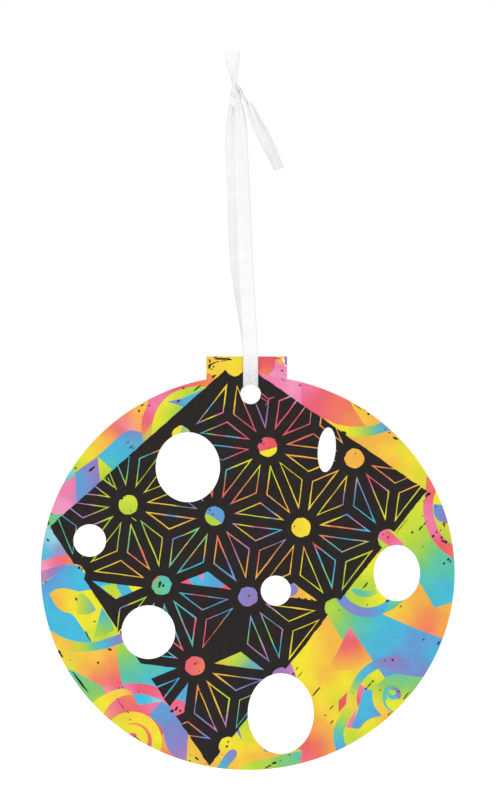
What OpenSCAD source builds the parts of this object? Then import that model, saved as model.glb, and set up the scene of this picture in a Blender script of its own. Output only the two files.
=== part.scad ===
// Scratch-art hanging ornament: a die-cut card bauble on a thin satin ribbon.
// It is modelled as it hangs: +Z is up and the printed front faces -Y.
// The origin is the hook's seat in the top of the ribbon loop, just under the knot.

/* [Card] */
// Width of the disc
disc_w = 101.6; // [98:0.1:105]
// Height of the disc without its tab
disc_h = 96.9; // [94:0.1:100]
// Width of the square neck tab
tab_w = 19.8; // [17:0.1:24]
// Height of the tab's top edge above the disc's centre
tab_top = 53.1; // [52:0.1:53.2]
// Radius of the punched hanging hole
hang_r = 2.5; // [2.5:0.1:2.8]
// Thickness of the white board
board_t = 0.4; // [0.3:0.05:0.45]
// Thickness of the print, of the scratch coating and of the back paper
skin_t = 0.05; // [0.04:0.01:0.06]

/* [Cut-outs] */
// Upper left oval: its centre from the disc's centre, half its width, half its height
oval_upper_left = [-14.7, 25.9, 7.9, 8.6];
// Slit at the upper right
oval_slit = [19.4, 30.2, 2.2, 5.5];
// Small round hole at the left
round_left = [-38.8, 7.9, 4.0, 4.0];
// Oval at the right
oval_right = [36.6, -0.1, 5.7, 6.9];
// Small round hole near the centre
round_centre = [6.9, -4.4, 3.7, 3.7];
// Large round hole at the lower left
round_lower_left = [-24.4, -14.6, 6.6, 6.6];
// Oval at the bottom
oval_bottom = [8.1, -34.6, 8.1, 9.9];
// How far the slit's top leans to the right, in degrees
slit_lean = 5; // [0:1:10]

/* [Scratched stars] */
// Distance between two star centres
star_gap = 21.4; // [20:0.1:23]
// Slope of the rows of stars, in degrees
star_slope = -7.5; // [-12:0.5:0]
// Radius of the dot scratched at each star's centre
dot_r = 2.4; // [1.5:0.1:3]
// How far each petal's scratched outline lies inside its petal
petal_inset = 1.15; // [0.9:0.05:1.5]
// Width of a scratched line
scratch_w = 0.28; // [0.2:0.02:0.4]

/* [Ribbon] */
// Width of the satin ribbon
ribbon_w = 3.7; // [3:0.1:3.8]
// Thickness of the ribbon
ribbon_t = 0.2; // [0.15:0.01:0.25]

/* [Hidden] */
$fn = 96;
eps = 0.01;

// The hanging hole's centre in the part's frame, and the disc's centre below it.
hang_x = 0.7;
hang_up = 43.9;
hang_at = [3.1, 0, -71.9];
disc_at = hang_at - [hang_x, 0, hang_up];
tab_x = -0.25;

// Front faces of the layers, from the front to the back.
print_y = -board_t / 2 - skin_t;
coating_y = print_y - skin_t;
back_y = board_t / 2;

// Corners of the part of the coating that is left, from the disc's centre.
coating_corners = [[-48.7, 11.2], [-5.4, 49.9], [2.5, 48.8], [43.9, 20.1], [-9.4, -47.4]];

// The stars stand on a triangular grid. star_at is the one in row 0, column 0.
star_at = [-8.1, 13.9];
columns = [-3:3];
rows = [-3:4];
petal_reach = 7;
// Petals as [column, row, half, side]: scratched away all over, and never scratched.
cleared = [[-2, 1, 0, 0], [-1, 0, 1, 1], [0, 0, 1, 1], [-1, 1, 1, 1], [-2, 2, 0, 0], [-2, 2, 1, 2]];
untouched = [
    [-1, 1, 1, 2], [0, -2, 0, 0], [0, -2, 0, 1], [0, -2, 0, 2], [-1, -2, 1, 0], [-1, -2, 1, 1], [-1, -1, 0, 0],
    [1, -2, 0, 0], [2, -2, 0, 2], [2, -2, 1, 1], [-2, 3, 0, 0], [-2, 3, 0, 1], [-2, 3, 1, 2], [-2, 1, 0, 2],
    [-3, 1, 1, 0],
];
// Stray scratches beside the hanging hole: [x, z] from the disc's centre, length, direction in degrees.
strays = [[3.9, 42.6, 2.4, -32], [4.9, 42.0, 2.6, 62], [6.0, 42.9, 1.3, 20]];

// Crumbs of coating left on the print: [x, z] from the disc's centre, length, direction in degrees.
crumbs = [
    [-6.4, 52.4, 3.4, 4], [-8.7, 51.3, 1.8, 24], [-9.2, 50.1, 1.3, 42], [-8.4, 48.0, 1.7, 33],
    [-26.2, 41.0, 1.2, 30], [-29.2, 32.0, 1.3, 34], [-28.4, 30.9, 1.3, 30], [-38.1, 25.6, 2.3, 42],
    [-42.2, 25.7, 1.3, 48], [-49.0, 8.0, 1.0, -60], [-42.1, -6.5, 0.9, -55], [-39.1, -15.6, 2.6, -58],
    [-33.8, -18.7, 1.2, -20], [-41.0, -27.0, 4.6, -56], [-30.8, -32.5, 2.5, -54], [-31.6, -28.2, 0.7, 10],
    [12.9, -24.9, 2.6, 50], [16.8, -29.2, 2.8, 50], [20.6, -33.1, 2.0, 48], [20.5, -36.6, 1.2, 46],
    [29.7, -27.8, 2.4, 48], [38.6, -30.0, 2.2, 48], [46.6, -17.2, 1.2, 52], [35.5, -21.6, 0.6, 0],
    [47.9, 3.2, 2.9, 24], [45.5, 9.6, 1.5, 62], [36.1, 32.8, 1.1, 40], [7.6, 50.9, 1.6, -24],
];
crumb_w = 0.32;

// Ribbon routes, from the knot outwards: [x, y, z, turn of the width, share of the ribbon's width].
front_route = [
    [-0.1, -0.45, -0.7, 0, 0.60], [0.2, -0.62, -2.5, 4, 0.72], [0.45, -0.85, -5.0, 8, 0.86],
    [0.6, -1.10, -9.0, 9, 0.97], [0.7, -1.30, -14.0, 7, 1], [1.0, -1.45, -20.0, 4, 1],
    [1.3, -1.55, -27.0, 0, 1], [1.6, -1.55, -34.0, -3, 1], [1.9, -1.45, -41.0, -5, 1],
    [2.3, -1.25, -48.0, -4, 1], [2.7, -0.95, -55.0, -2, 1], [3.0, -0.65, -60.0, 0, 1],
    [3.1, -0.52, -62.4, 0, 1],
];
back_route = [
    [-0.8, 0.45, -0.7, 0, 0.60], [-1.0, 0.62, -2.5, -6, 0.74], [-1.2, 0.85, -5.0, -10, 0.88],
    [-1.3, 1.10, -9.0, -12, 0.98], [-1.2, 1.30, -14.0, -9, 1], [-0.8, 1.45, -20.0, -5, 1],
    [-0.6, 1.55, -27.0, 2, 1], [-0.4, 1.55, -34.0, 6, 1], [0.1, 1.45, -41.0, 7, 1],
    [1.1, 1.25, -48.0, 5, 1], [2.3, 0.95, -55.0, 2, 1], [3.0, 0.65, -60.0, 0, 1],
    [3.1, 0.52, -62.4, 0, 1],
];
tail_route = [
    [1.1, -0.5, 0.6, 10, 0.55], [2.3, -0.8, -0.6, 20, 0.66], [3.3, -1.0, -2.4, 28, 0.74],
    [4.3, -1.1, -4.8, 30, 0.84], [5.8, -1.1, -7.7, 26, 0.88], [7.1, -1.0, -10.4, 30, 0.9],
    [8.5, -0.9, -13.2, 34, 0.9], [10.0, -0.8, -16.8, 38, 0.9],
];
top_route = [
    [-0.85, 0, 4.0, 60, 0.5], [-1.1, 0.1, 5.2, 45, 0.62], [-1.35, 0.2, 6.9, 30, 0.76],
    [-1.45, 0.3, 8.8, 20, 0.88], [-1.45, 0.3, 10.6, 12, 0.95], [-1.35, 0.3, 12.3, 8, 0.98],
];

// The ribbon's turn through the hanging hole: its inner radius and how far it stands off the card.
bight_r = hang_r - 0.3;
card_gap = 0.1;
bight_y = -coating_y + card_gap;
bight_top = hang_at.z + tab_top - hang_up + 0.2;

// The knot: its centre, its radius and its height.
knot_at = [-0.5, 0, 1.75];
knot_r = 1.6;
knot_h = 4.5;

function unit(v) = v / norm(v);
function grid(i, j) = star_at + star_gap * [i * cos(star_slope) + j * cos(star_slope - 60),
                                            i * sin(star_slope) + j * sin(star_slope - 60)];
// Each grid triangle is cut into three petals that meet at its middle.
function corners(i, j, half) = half == 0 ? [grid(i, j), grid(i + 1, j), grid(i, j + 1)]
                                         : [grid(i + 1, j), grid(i + 1, j + 1), grid(i, j + 1)];
function petal(i, j, half, side) = let (c = corners(i, j, half))
    [c[side], c[(side + 1) % 3], (c[0] + c[1] + c[2]) / 3];
// A petal shrunk towards the centre of the circle that touches its three sides.
function inset(p, d) =
    let (o = (p[0] + p[1] + sqrt(3) * p[2]) / (2 + sqrt(3)), r = star_gap / (4 + 2 * sqrt(3)))
    [for (q = p) o + (q - o) * (1 - d / r)];
// Distance of a point outside the coating's border, negative inside it. The corners run clockwise.
function outside(p) = max([for (n = [0 : len(coating_corners) - 1])
    let (a = coating_corners[n], b = coating_corners[(n + 1) % len(coating_corners)], e = unit(b - a))
    (p - a) * [-e.y, e.x]]);
function among(p, list) = len([for (q = list) if (q == p) 1]) > 0;
petals = [for (i = columns, j = rows, half = [0, 1], side = [0 : 2])
    let (p = petal(i, j, half, side))
    if (outside((p[0] + p[1] + p[2]) / 3) < petal_reach && !among([i, j, half, side], untouched))
    [i, j, half, side]];

// One face of a layer: children are drawn from the disc's centre, with the front at y.
module layer(y, t) {
    translate([disc_at.x, y + t, disc_at.z])
        rotate([90, 0, 0]) linear_extrude(height = t) children();
}

module oval(w, lean = 0) {
    translate([w[0], w[1]]) rotate(-lean) scale([w[2] / w[3], 1]) circle(r = w[3]);
}

module cutouts() {
    for (w = [oval_upper_left, round_left, oval_right, round_centre, round_lower_left, oval_bottom])
        oval(w);
    oval(oval_slit, slit_lean);
    translate([hang_x, hang_up]) circle(r = hang_r);
}

module card_face() {
    difference() {
        union() {
            scale([disc_w / disc_h, 1]) circle(r = disc_h / 2);
            translate([tab_x - tab_w / 2, 0]) square([tab_w, tab_top]);
        }
        cutouts();
    }
}

// A strip swept along a route, with a flat eight-sided section.
module strip(route) {
    last = len(route) - 1;
    at = [for (r = route) [r[0], r[1], r[2]]];
    rings = [for (n = [0 : last])
        let (d = unit(at[min(n + 1, last)] - at[max(n - 1, 0)]),
             u0 = unit(cross(d, [0, 1, 0])), n0 = cross(u0, d), turn = route[n][3],
             u = cos(turn) * u0 + sin(turn) * n0, v = cos(turn) * n0 - sin(turn) * u0,
             w = ribbon_w / 2 * route[n][4], t = ribbon_t / 2)
        each [for (s = [[w, t / 2], [w - t, t], [t - w, t], [-w, t / 2],
                        [-w, -t / 2], [t - w, -t], [w - t, -t], [w, -t / 2]])
            at[n] + s[0] * u + s[1] * v]];
    sides = [for (n = [0 : last - 1], k = [0 : 7])
        let (a = 8 * n + k, b = 8 * n + (k + 1) % 8)
        each [[a, b, b + 8], [a, b + 8, a + 8]]];
    polyhedron(rings, [[for (k = [7 : -1 : 0]) k], each sides, [for (k = [0 : 7]) 8 * last + k]]);
}

// Overhand knot, as one plain rounded barrel.
module ribbon_knot() {
    color("white") translate(knot_at) rotate_extrude()
        polygon([[0, -knot_h / 2], [knot_r * 0.6, -knot_h / 2], [knot_r, -knot_h / 4], [knot_r, knot_h / 5],
                 [knot_r * 0.55, knot_h / 2], [0, knot_h / 2]]);
}

module ribbon_top_end() {
    color("white") strip(top_route);
}

module ribbon_tail() {
    color("white") strip(tail_route);
}

module ribbon_front_strand() {
    color("white") strip(front_route);
}

module ribbon_back_strand() {
    color("white") strip(back_route);
}

// The ribbon's turn through the hole: a curved strip under the hole's top edge, and a flat one up each face.
module ribbon_bight() {
    color("white") difference() {
        translate([hang_at.x - ribbon_w / 2, -bight_y - ribbon_t, hang_at.z])
            cube([ribbon_w, 2 * (bight_y + ribbon_t), bight_top - hang_at.z]);
        translate(hang_at) rotate([90, 0, 0]) cylinder(r = bight_r, h = 4, center = true);
        difference() {
            translate([hang_at.x - ribbon_w, -bight_y, hang_at.z])
                cube([2 * ribbon_w, 2 * bight_y, bight_top - hang_at.z + eps]);
            translate(hang_at) rotate([90, 0, 0]) cylinder(r = bight_r + ribbon_t, h = 4, center = true);
        }
    }
}

// White board that stiffens the card.
module card_core() {
    color("whitesmoke") layer(-board_t / 2, board_t) card_face();
}

module front_print() {
    color("gold") layer(print_y, skin_t) card_face();
}

module back_paper() {
    color("white") layer(back_y, skin_t) card_face();
}

// What is left of the black coating, without the scratched petals and dots.
module scratch_coating() {
    color("black") layer(coating_y, skin_t) difference() {
        intersection() {
            polygon(coating_corners);
            card_face();
        }
        for (i = columns, j = rows)
            if (outside(grid(i, j)) < dot_r) translate(grid(i, j)) circle(r = dot_r);
        for (p = petals) polygon(inset(petal(p[0], p[1], p[2], p[3]), petal_inset));
        for (s = strays)
            translate([s[0], s[1]]) rotate(s[3]) square([s[2], scratch_w * 0.8], center = true);
    }
}

// The black left standing inside each scratched outline.
module scratch_islands() {
    color("black") layer(coating_y, skin_t) intersection() {
        polygon(coating_corners);
        card_face();
        union() for (p = petals) if (!among(p, cleared))
            polygon(inset(petal(p[0], p[1], p[2], p[3]), petal_inset + scratch_w));
    }
}

module coating_flecks() {
    color("black") layer(coating_y, skin_t) intersection() {
        card_face();
        for (c = crumbs) translate([c[0], c[1]]) rotate(c[3])
            polygon([[-c[2] / 2, 0], [-c[2] / 5, -crumb_w / 2], [c[2] / 3, -crumb_w / 3], [c[2] / 2, 0],
                     [c[2] / 4, crumb_w / 2], [-c[2] / 3, crumb_w / 3]]);
    }
}

ribbon_knot();
ribbon_top_end();
ribbon_tail();
ribbon_front_strand();
ribbon_back_strand();
ribbon_bight();
card_core();
front_print();
back_paper();
scratch_coating();
scratch_islands();
coating_flecks();
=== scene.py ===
import math

import bpy
import numpy as np
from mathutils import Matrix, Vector
from mathutils.geometry import delaunay_2d_cdt


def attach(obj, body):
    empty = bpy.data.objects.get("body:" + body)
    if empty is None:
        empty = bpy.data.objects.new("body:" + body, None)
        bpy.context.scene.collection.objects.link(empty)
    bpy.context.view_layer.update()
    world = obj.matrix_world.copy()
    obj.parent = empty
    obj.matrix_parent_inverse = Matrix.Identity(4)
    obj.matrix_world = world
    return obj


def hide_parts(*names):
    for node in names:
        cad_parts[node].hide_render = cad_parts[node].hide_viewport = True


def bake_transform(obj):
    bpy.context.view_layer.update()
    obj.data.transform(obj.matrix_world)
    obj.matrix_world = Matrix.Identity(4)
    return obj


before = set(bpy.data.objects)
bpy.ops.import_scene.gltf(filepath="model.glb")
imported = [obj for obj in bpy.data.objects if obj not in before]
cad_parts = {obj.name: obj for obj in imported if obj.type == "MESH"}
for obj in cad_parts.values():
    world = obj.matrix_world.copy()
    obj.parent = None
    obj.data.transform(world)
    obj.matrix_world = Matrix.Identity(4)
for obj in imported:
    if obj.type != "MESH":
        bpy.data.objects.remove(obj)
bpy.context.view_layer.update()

MM = 0.001
scene = bpy.context.scene
scene.view_settings.view_transform = "Standard"

LENS = 85
FILM = 36
VIEW_HEIGHT = 196.5 * MM
VIEW_CENTRE = Vector((2.46, 0, -73.4)) * MM
camera = bpy.data.objects.new("camera", bpy.data.cameras.new("camera"))
camera.data.lens = LENS
camera.data.sensor_width = FILM
camera.data.clip_start = 0.01
camera.location = VIEW_CENTRE - Vector((0, VIEW_HEIGHT * LENS / FILM, 0))
camera.rotation_euler = (math.radians(90), 0, 0)
scene.collection.objects.link(camera)
scene.camera = camera


def material(name, roughness, specular=0.5):
    """A new material: returns it with its node tree and its Principled shader."""
    made = bpy.data.materials.new(name)
    made.use_nodes = True
    shader = made.node_tree.nodes["Principled BSDF"]
    shader.inputs["Roughness"].default_value = roughness
    shader.inputs["Specular IOR Level"].default_value = specular
    return made, made.node_tree, shader


def add(tree, kind, **sockets):
    """A node of a kind in a tree. A socket is given by its name, or as i and its number, and is set to a
    value or linked to another socket."""
    made = tree.nodes.new(kind)
    for name, value in sockets.items():
        socket = made.inputs[int(name[1:])] if name[0] == "i" and name[1:].isdigit() else made.inputs[name]
        if isinstance(value, bpy.types.NodeSocket):
            tree.links.new(value, socket)
        else:
            socket.default_value = value
    return made


def ramped(tree, value, span=(0, 1), to=(0, 1)):
    """A socket's value, with the span stretched evenly to another and held at its two ends."""
    made = add(tree, "ShaderNodeMapRange", Value=value, i1=span[0], i2=span[1], i3=to[0], i4=to[1])
    return made.outputs["Result"]


FLOOR_Z = -0.30
FLOOR_REACH = 6.0
FLOOR_GLOW = 0.52
sweep, tree, shader = material("pale_sweep", 0.9, 0.1)
shader.inputs["Emission Color"].default_value = (1, 1, 1, 1)
shader.inputs["Emission Strength"].default_value = FLOOR_GLOW
tone = add(tree, "ShaderNodeTexNoise", Scale=3.0)
tree.links.new(ramped(tree, tone.outputs["Fac"], to=(0.92, 0.95)), shader.inputs["Base Color"])
corner = np.array([[-1, -1], [1, -1], [1, 1], [-1, 1]]) * FLOOR_REACH
floor_mesh = bpy.data.meshes.new("floor")
floor_mesh.from_pydata([(x, y, FLOOR_Z) for x, y in corner], [], [(0, 1, 2, 3)])
floor_mesh.materials.append(sweep)
floor = bpy.data.objects.new("floor", floor_mesh)
scene.collection.objects.link(floor)

# The camera sees a white room, and the ornament is lit by it more softly.
ROOM_SEEN = 1.0
ROOM_LIGHT = 0.62
room = bpy.data.worlds.new("room")
room.use_nodes = True
scene.world = room
tree = room.node_tree
ray = add(tree, "ShaderNodeLightPath")
strength = ramped(tree, ray.outputs["Is Camera Ray"], to=(ROOM_LIGHT, ROOM_SEEN))
tree.links.new(strength, tree.nodes["Background"].inputs["Strength"])
tree.nodes["Background"].inputs["Color"].default_value = (1, 1, 1, 1)

# Each lamp: where it stands, how wide it is, and its power in watts.
LAMPS = {
    "key_lamp": [(-0.62, -0.75, 0.28), 0.55, 2.1],
    "fill_lamp": [(0.80, -0.70, 0.05), 0.70, 1.2],
    "back_lamp": [(0.45, 0.85, 0.30), 0.70, 2.6],
}
for name, (place, size, watts) in LAMPS.items():
    lamp = bpy.data.lights.new(name, "AREA")
    lamp.size = size
    lamp.energy = watts
    holder = bpy.data.objects.new(name, lamp)
    holder.location = place
    holder.rotation_euler = (VIEW_CENTRE - Vector(place)).to_track_quat("-Z", "Y").to_euler()
    scene.collection.objects.link(holder)

# Ribbon strands. One length of white double-faced satin ribbon is threaded through the card and
# knotted, so two strands hang side by side between the knot and the card's tab.
RIBBON_W = 3.7 * MM
RIBBON_T = 0.2 * MM
ACROSS = 33
# How high the gathering folds and the ripple stand, as shares of the width.
FOLD_HEIGHT = 0.16
RIPPLE = 0.006


def spanned(a, b, c, d, share):
    """The point a share of the way along the cubic from b to c, whose slope at either end is half the
    step between that end's neighbours: one span of a Catmull-Rom curve."""
    return b + share / 2 * (c - a + share * (2 * a - 5 * b + 4 * c - d + share * (3 * (b - c) + d - a)))


def smooth_line(points, count):
    """The Catmull-Rom curve through the points, each span sampled evenly, with count samples in all."""
    p = np.vstack([2 * points[0] - points[1], points, 2 * points[-1] - points[-2]])
    t = np.linspace(0, len(points) - 1, count)
    n = np.minimum(t.astype(int), len(points) - 2)
    return spanned(p[n], p[n + 1], p[n + 2], p[n + 3], (t - n)[:, None])


def unit(v):
    """Vectors divided by their lengths."""
    return v / np.maximum(np.linalg.norm(v, axis=-1, keepdims=True), 1e-12)


def swept(route, count, folds=2.5, cup=0.05, phase=0.0):
    """Middle surface of a ribbon carried along a route of x, y, z, turn in degrees and share of the
    width, in millimetres. Across the ribbon s runs from -1 to 1. Where the ribbon is gathered to less than
    its width, it stands out in folds, a sine of s whose height is what the share leaves over. Elsewhere it
    is cupped by s squared, and a small ripple runs along it."""
    line = smooth_line(np.array(route, float), count)
    centre = line[:, :3] * MM
    heading = unit(np.gradient(centre, axis=0))
    side = unit(np.cross(heading, [0.0, 1.0, 0.0]))
    face = np.cross(side, heading)
    turn = np.radians(line[:, 3:4])
    u = np.cos(turn) * side + np.sin(turn) * face
    v = np.cos(turn) * face - np.sin(turn) * side
    s = np.linspace(-1, 1, ACROSS)[None, :]
    share = line[:, 4:5]
    along = np.linspace(0, 1, count)[:, None]
    fold = FOLD_HEIGHT * (1 - share) * np.sin(folds * np.pi * s + phase + 2 * along)
    cupped = cup * (s ** 2 - 0.33) * np.sin(np.pi * along)
    height = fold + cupped + RIPPLE * np.sin(9 * s + 23 * along + phase)
    grid = centre[:, None] + RIBBON_W / 2 * share[..., None] * s[..., None] * u[:, None]
    return grid + (RIBBON_W * height)[..., None] * v[:, None], centre


def shell(middle, thickness=RIBBON_T):
    """Both faces of a ribbon and its edges: the middle grid moved half a thickness each way along its
    normal, which is the cross product of its two slopes, thinner at the rim, and closed round the rim."""
    rows, columns = middle.shape[:2]
    normal = unit(np.cross(np.gradient(middle, axis=0), np.gradient(middle, axis=1)))
    s = np.linspace(-1, 1, columns)[None, :, None]
    half = thickness / 2 * (1 - 0.45 * np.abs(s) ** 14)
    points = np.vstack([(middle + half * normal).reshape(-1, 3), (middle - half * normal).reshape(-1, 3)])
    k = np.arange(rows * columns).reshape(rows, columns)
    front = np.stack([k[:-1, :-1], k[1:, :-1], k[1:, 1:], k[:-1, 1:]], axis=-1).reshape(-1, 4)
    rim = np.concatenate([k[:-1, 0], k[-1, :-1], k[:0:-1, -1], k[0, :0:-1]])
    after = np.roll(rim, -1)
    size = rows * columns
    wall = np.stack([after, rim, rim + size, after + size], axis=-1)
    return points, np.vstack([front, front[:, ::-1] + size, wall])


def ribbon_uv(middle):
    """Pattern coordinates in metres on a ribbon: across it from its middle, and along it from its start."""
    rows, columns = middle.shape[:2]
    step = np.linalg.norm(np.diff(middle, axis=0), axis=2).mean(axis=1)
    v = np.concatenate([[0], np.cumsum(step)])
    u = np.linspace(-1, 1, columns) * RIBBON_W / 2
    grid = np.stack(np.broadcast_arrays(u[None, :], v[:, None]), axis=-1).reshape(-1, 2)
    return np.vstack([grid, grid])


SHARP_EDGE = 50


def put(name, points, faces, finish, slot):
    """A mesh object with its place in its mesh, smooth but for edges that turn more than the sharp angle."""
    mesh = bpy.data.meshes.new(name)
    mesh.from_pydata(np.asarray(points).tolist(), [], [list(map(int, f)) for f in faces])
    mesh.materials.append(finish)
    mesh.shade_smooth()
    mesh.set_sharp_from_angle(angle=math.radians(SHARP_EDGE))
    made = bpy.data.objects.new(name, mesh)
    scene.collection.objects.link(made)
    return made


def lay_pattern(made, uv):
    """Gives every corner of a mesh its point's pattern coordinates."""
    layer = made.data.uv_layers.new(name="weave")
    corner = np.zeros(len(made.data.loops), np.int32)
    made.data.loops.foreach_get("vertex_index", corner)
    layer.data.foreach_set("uv", uv[corner].astype(np.float32).ravel())


def linear_share(share):
    """Display values from 0 to 1 turned into the linear light that shaders take: a straight foot, and a
    power above it."""
    return np.where(share <= 0.04045, share / 12.92, ((share + 0.055) / 1.055) ** 2.4)


def linear(red, green, blue):
    """A shader's colour from display values of 0 to 255."""
    return tuple(linear_share(np.array([red, green, blue], float) / 255)) + (1.0,)


def blended(tree, factor, first, second):
    """The colour of a Mix node between two colours, each a value or a socket."""
    made = tree.nodes.new("ShaderNodeMix")
    made.data_type = "RGBA"
    for number, value in ((0, factor), (6, first), (7, second)):
        if isinstance(value, bpy.types.NodeSocket):
            tree.links.new(value, made.inputs[number])
        else:
            made.inputs[number].default_value = value
    return made.outputs[2]


def scaled(tree, colour, level):
    """A colour made lighter or darker by a level, both sockets."""
    made = add(tree, "ShaderNodeVectorMath", i0=colour)
    made.operation = "SCALE"
    tree.links.new(level, made.inputs["Scale"])
    return made.outputs["Vector"]


def reckoned(tree, way, first, second):
    """The result of a Math node on two numbers, each a value or a socket."""
    made = add(tree, "ShaderNodeMath", i0=first, i1=second)
    made.operation = way
    return made.outputs[0]


def surfaced(tree, shader, grain, smooth, coarse, height, depth, strength):
    """A material's surface: its roughness runs from smooth to coarse with a grain, and a faint relief
    follows a height, both sockets."""
    tree.links.new(ramped(tree, grain, to=(smooth, coarse)), shader.inputs["Roughness"])
    relief = add(tree, "ShaderNodeBump", Strength=strength, Distance=depth, Height=height)
    tree.links.new(relief.outputs["Normal"], shader.inputs["Normal"])


# Satin floats to a metre, across the ribbon and along it. The pattern is flat, so its third scale is 1.
FLOATS_PER_M = (9000, 700, 1)
# Width of the edge thread, whose colour is also painted darker as shade along the ribbon's edges.
EDGE_THREAD_AND_SHADE = 0.4 * MM
EDGE_TURN = 0.03 * MM
SATIN_RELIEF = 0.03 * MM
# Painted shade on the satin: it greys from the top of the tab down to the hole.
HOLE_SHADE_FROM = -62.0 * MM
HOLE_SHADE_TO = -70.5 * MM


def satin():
    """White satin: fine lengthwise floats, a firm edge thread either side with painted shade along it, and
    faint cloudiness. It is pressed flat and greyed patchily by painted shade, from the tab down to the hole."""
    made, tree, shader = material("white_satin", 0.36, 0.45)
    shader.inputs["Sheen Weight"].default_value = 0.25
    shader.inputs["Sheen Roughness"].default_value = 0.4
    place = add(tree, "ShaderNodeUVMap")
    place.uv_map = "weave"
    uv = place.outputs["UV"]
    stretch = add(tree, "ShaderNodeMapping", Vector=uv, Scale=FLOATS_PER_M)
    floats = add(tree, "ShaderNodeTexNoise", Vector=stretch.outputs["Vector"], Scale=1.0, Detail=3.0)
    cloud = add(tree, "ShaderNodeTexNoise", Vector=uv, Scale=420.0, Detail=2.0)
    split = add(tree, "ShaderNodeSeparateXYZ", Vector=uv)
    off = reckoned(tree, "ABSOLUTE", split.outputs["X"], 0.5)
    half = RIBBON_W / 2
    # Painted shade: the colour darkens towards both edges, over the ribbon's real edge thread.
    edge = ramped(tree, off, (half - EDGE_THREAD_AND_SHADE, half - EDGE_TURN))
    thread = blended(tree, floats.outputs["Fac"], linear(234, 234, 235), linear(247, 247, 247))
    shade = ramped(tree, cloud.outputs["Fac"], (0.3, 0.7), (0.95, 1.0))
    cloud_and_edge_shade = reckoned(tree, "ADD", shade, reckoned(tree, "MULTIPLY", edge, -0.14))
    at = tree.nodes.new("ShaderNodeTexCoord").outputs["Object"]
    height = add(tree, "ShaderNodeSeparateXYZ", Vector=at)
    # Painted shade: a patchy grey that deepens from the tab down to the hole.
    hole_shade = ramped(tree, height.outputs["Z"], (HOLE_SHADE_FROM, HOLE_SHADE_TO))
    patches = add(tree, "ShaderNodeTexNoise", Vector=at, Scale=1300.0, Detail=2.0)
    grey = ramped(tree, patches.outputs["Fac"], (0.3, 0.7), (0.13, 0.37))
    level = reckoned(tree, "SUBTRACT", cloud_and_edge_shade, reckoned(tree, "MULTIPLY", hole_shade, grey))
    tree.links.new(scaled(tree, thread, level), shader.inputs["Base Color"])
    surfaced(tree, shader, floats.outputs["Fac"], 0.3, 0.46, floats.outputs["Fac"], SATIN_RELIEF, 0.5)
    return made


white_satin = satin()

# Points along each strand's middle, from the knot down to the bight, in the order that swept() takes.
FRONT_ROUTE = [
    [-0.1, -0.45, -0.7, 0, 0.60], [0.2, -0.62, -2.5, 4, 0.72], [0.45, -0.85, -5.0, 8, 0.86],
    [0.6, -1.10, -9.0, 9, 0.97], [0.7, -1.30, -14.0, 7, 1], [1.0, -1.45, -20.0, 4, 1],
    [1.3, -1.55, -27.0, 0, 1], [1.6, -1.55, -34.0, -3, 1], [1.9, -1.45, -41.0, -5, 1],
    [2.3, -1.25, -48.0, -4, 1], [2.7, -0.95, -55.0, -2, 1], [3.0, -0.65, -60.0, 0, 1],
    [3.1, -0.52, -62.4, 0, 1],
]
BACK_ROUTE = [
    [-0.8, 0.45, -0.7, 0, 0.60], [-1.0, 0.62, -2.5, -6, 0.74], [-1.2, 0.85, -5.0, -10, 0.88],
    [-1.3, 1.10, -9.0, -12, 0.98], [-1.2, 1.30, -14.0, -9, 1], [-0.8, 1.45, -20.0, -5, 1],
    [-0.6, 1.55, -27.0, 2, 1], [-0.4, 1.55, -34.0, 6, 1], [0.1, 1.45, -41.0, 7, 1],
    [1.1, 1.25, -48.0, 5, 1], [2.3, 0.95, -55.0, 2, 1], [3.0, 0.65, -60.0, 0, 1],
    [3.1, 0.52, -62.4, 0, 1],
]
STRAND_ROWS = 200


def strand(name, route, phase):
    """One hanging strand, as an object with the line its middle follows."""
    middle, centre = swept(route, STRAND_ROWS, phase=phase)
    made = put(name, *shell(middle), white_satin, "ribbon")
    lay_pattern(made, ribbon_uv(middle))
    return made, centre


front_strand, front_line = strand("front_strand", FRONT_ROUTE, 0.0)
back_strand, back_line = strand("back_strand", BACK_ROUTE, 1.7)
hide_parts("ribbon_front_strand")
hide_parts("ribbon_back_strand")

# Knot and loose ends. Both ends of the ribbon are tied together in one overhand knot: a collar of
# ribbon wound round the gathered strands, one short end standing up and one slanting down.
TOP_ROUTE = [
    [-0.75, 0, 3.8, 60, 0.20], [-0.95, 0.05, 4.7, 50, 0.34], [-1.2, 0.1, 5.6, 36, 0.50],
    [-1.28, 0.2, 7.0, 26, 0.66], [-1.4, 0.3, 8.4, 18, 0.82], [-1.35, 0.3, 10.2, 12, 0.93],
    [-1.35, 0.3, 12.3, 8, 0.98],
]
TAIL_ROUTE = [
    [-0.4, -0.30, 3.7, 0, 0.16], [0.35, -0.55, 3.3, 0, 0.18], [0.85, -0.80, 2.4, 8, 0.19],
    [1.15, -0.95, 1.4, 14, 0.20], [1.7, -1.05, 0.4, 18, 0.22], [2.4, -1.10, -0.7, 20, 0.38],
    [3.3, -1.10, -2.4, 26, 0.68], [4.3, -1.10, -4.8, 30, 0.86], [5.8, -1.10, -7.7, 26, 0.94],
    [7.1, -1.00, -10.4, 28, 0.96], [8.5, -0.90, -13.2, 34, 0.95], [10.0, -0.80, -16.8, 38, 0.92],
]
LOOSE_ROWS = 120


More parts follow.
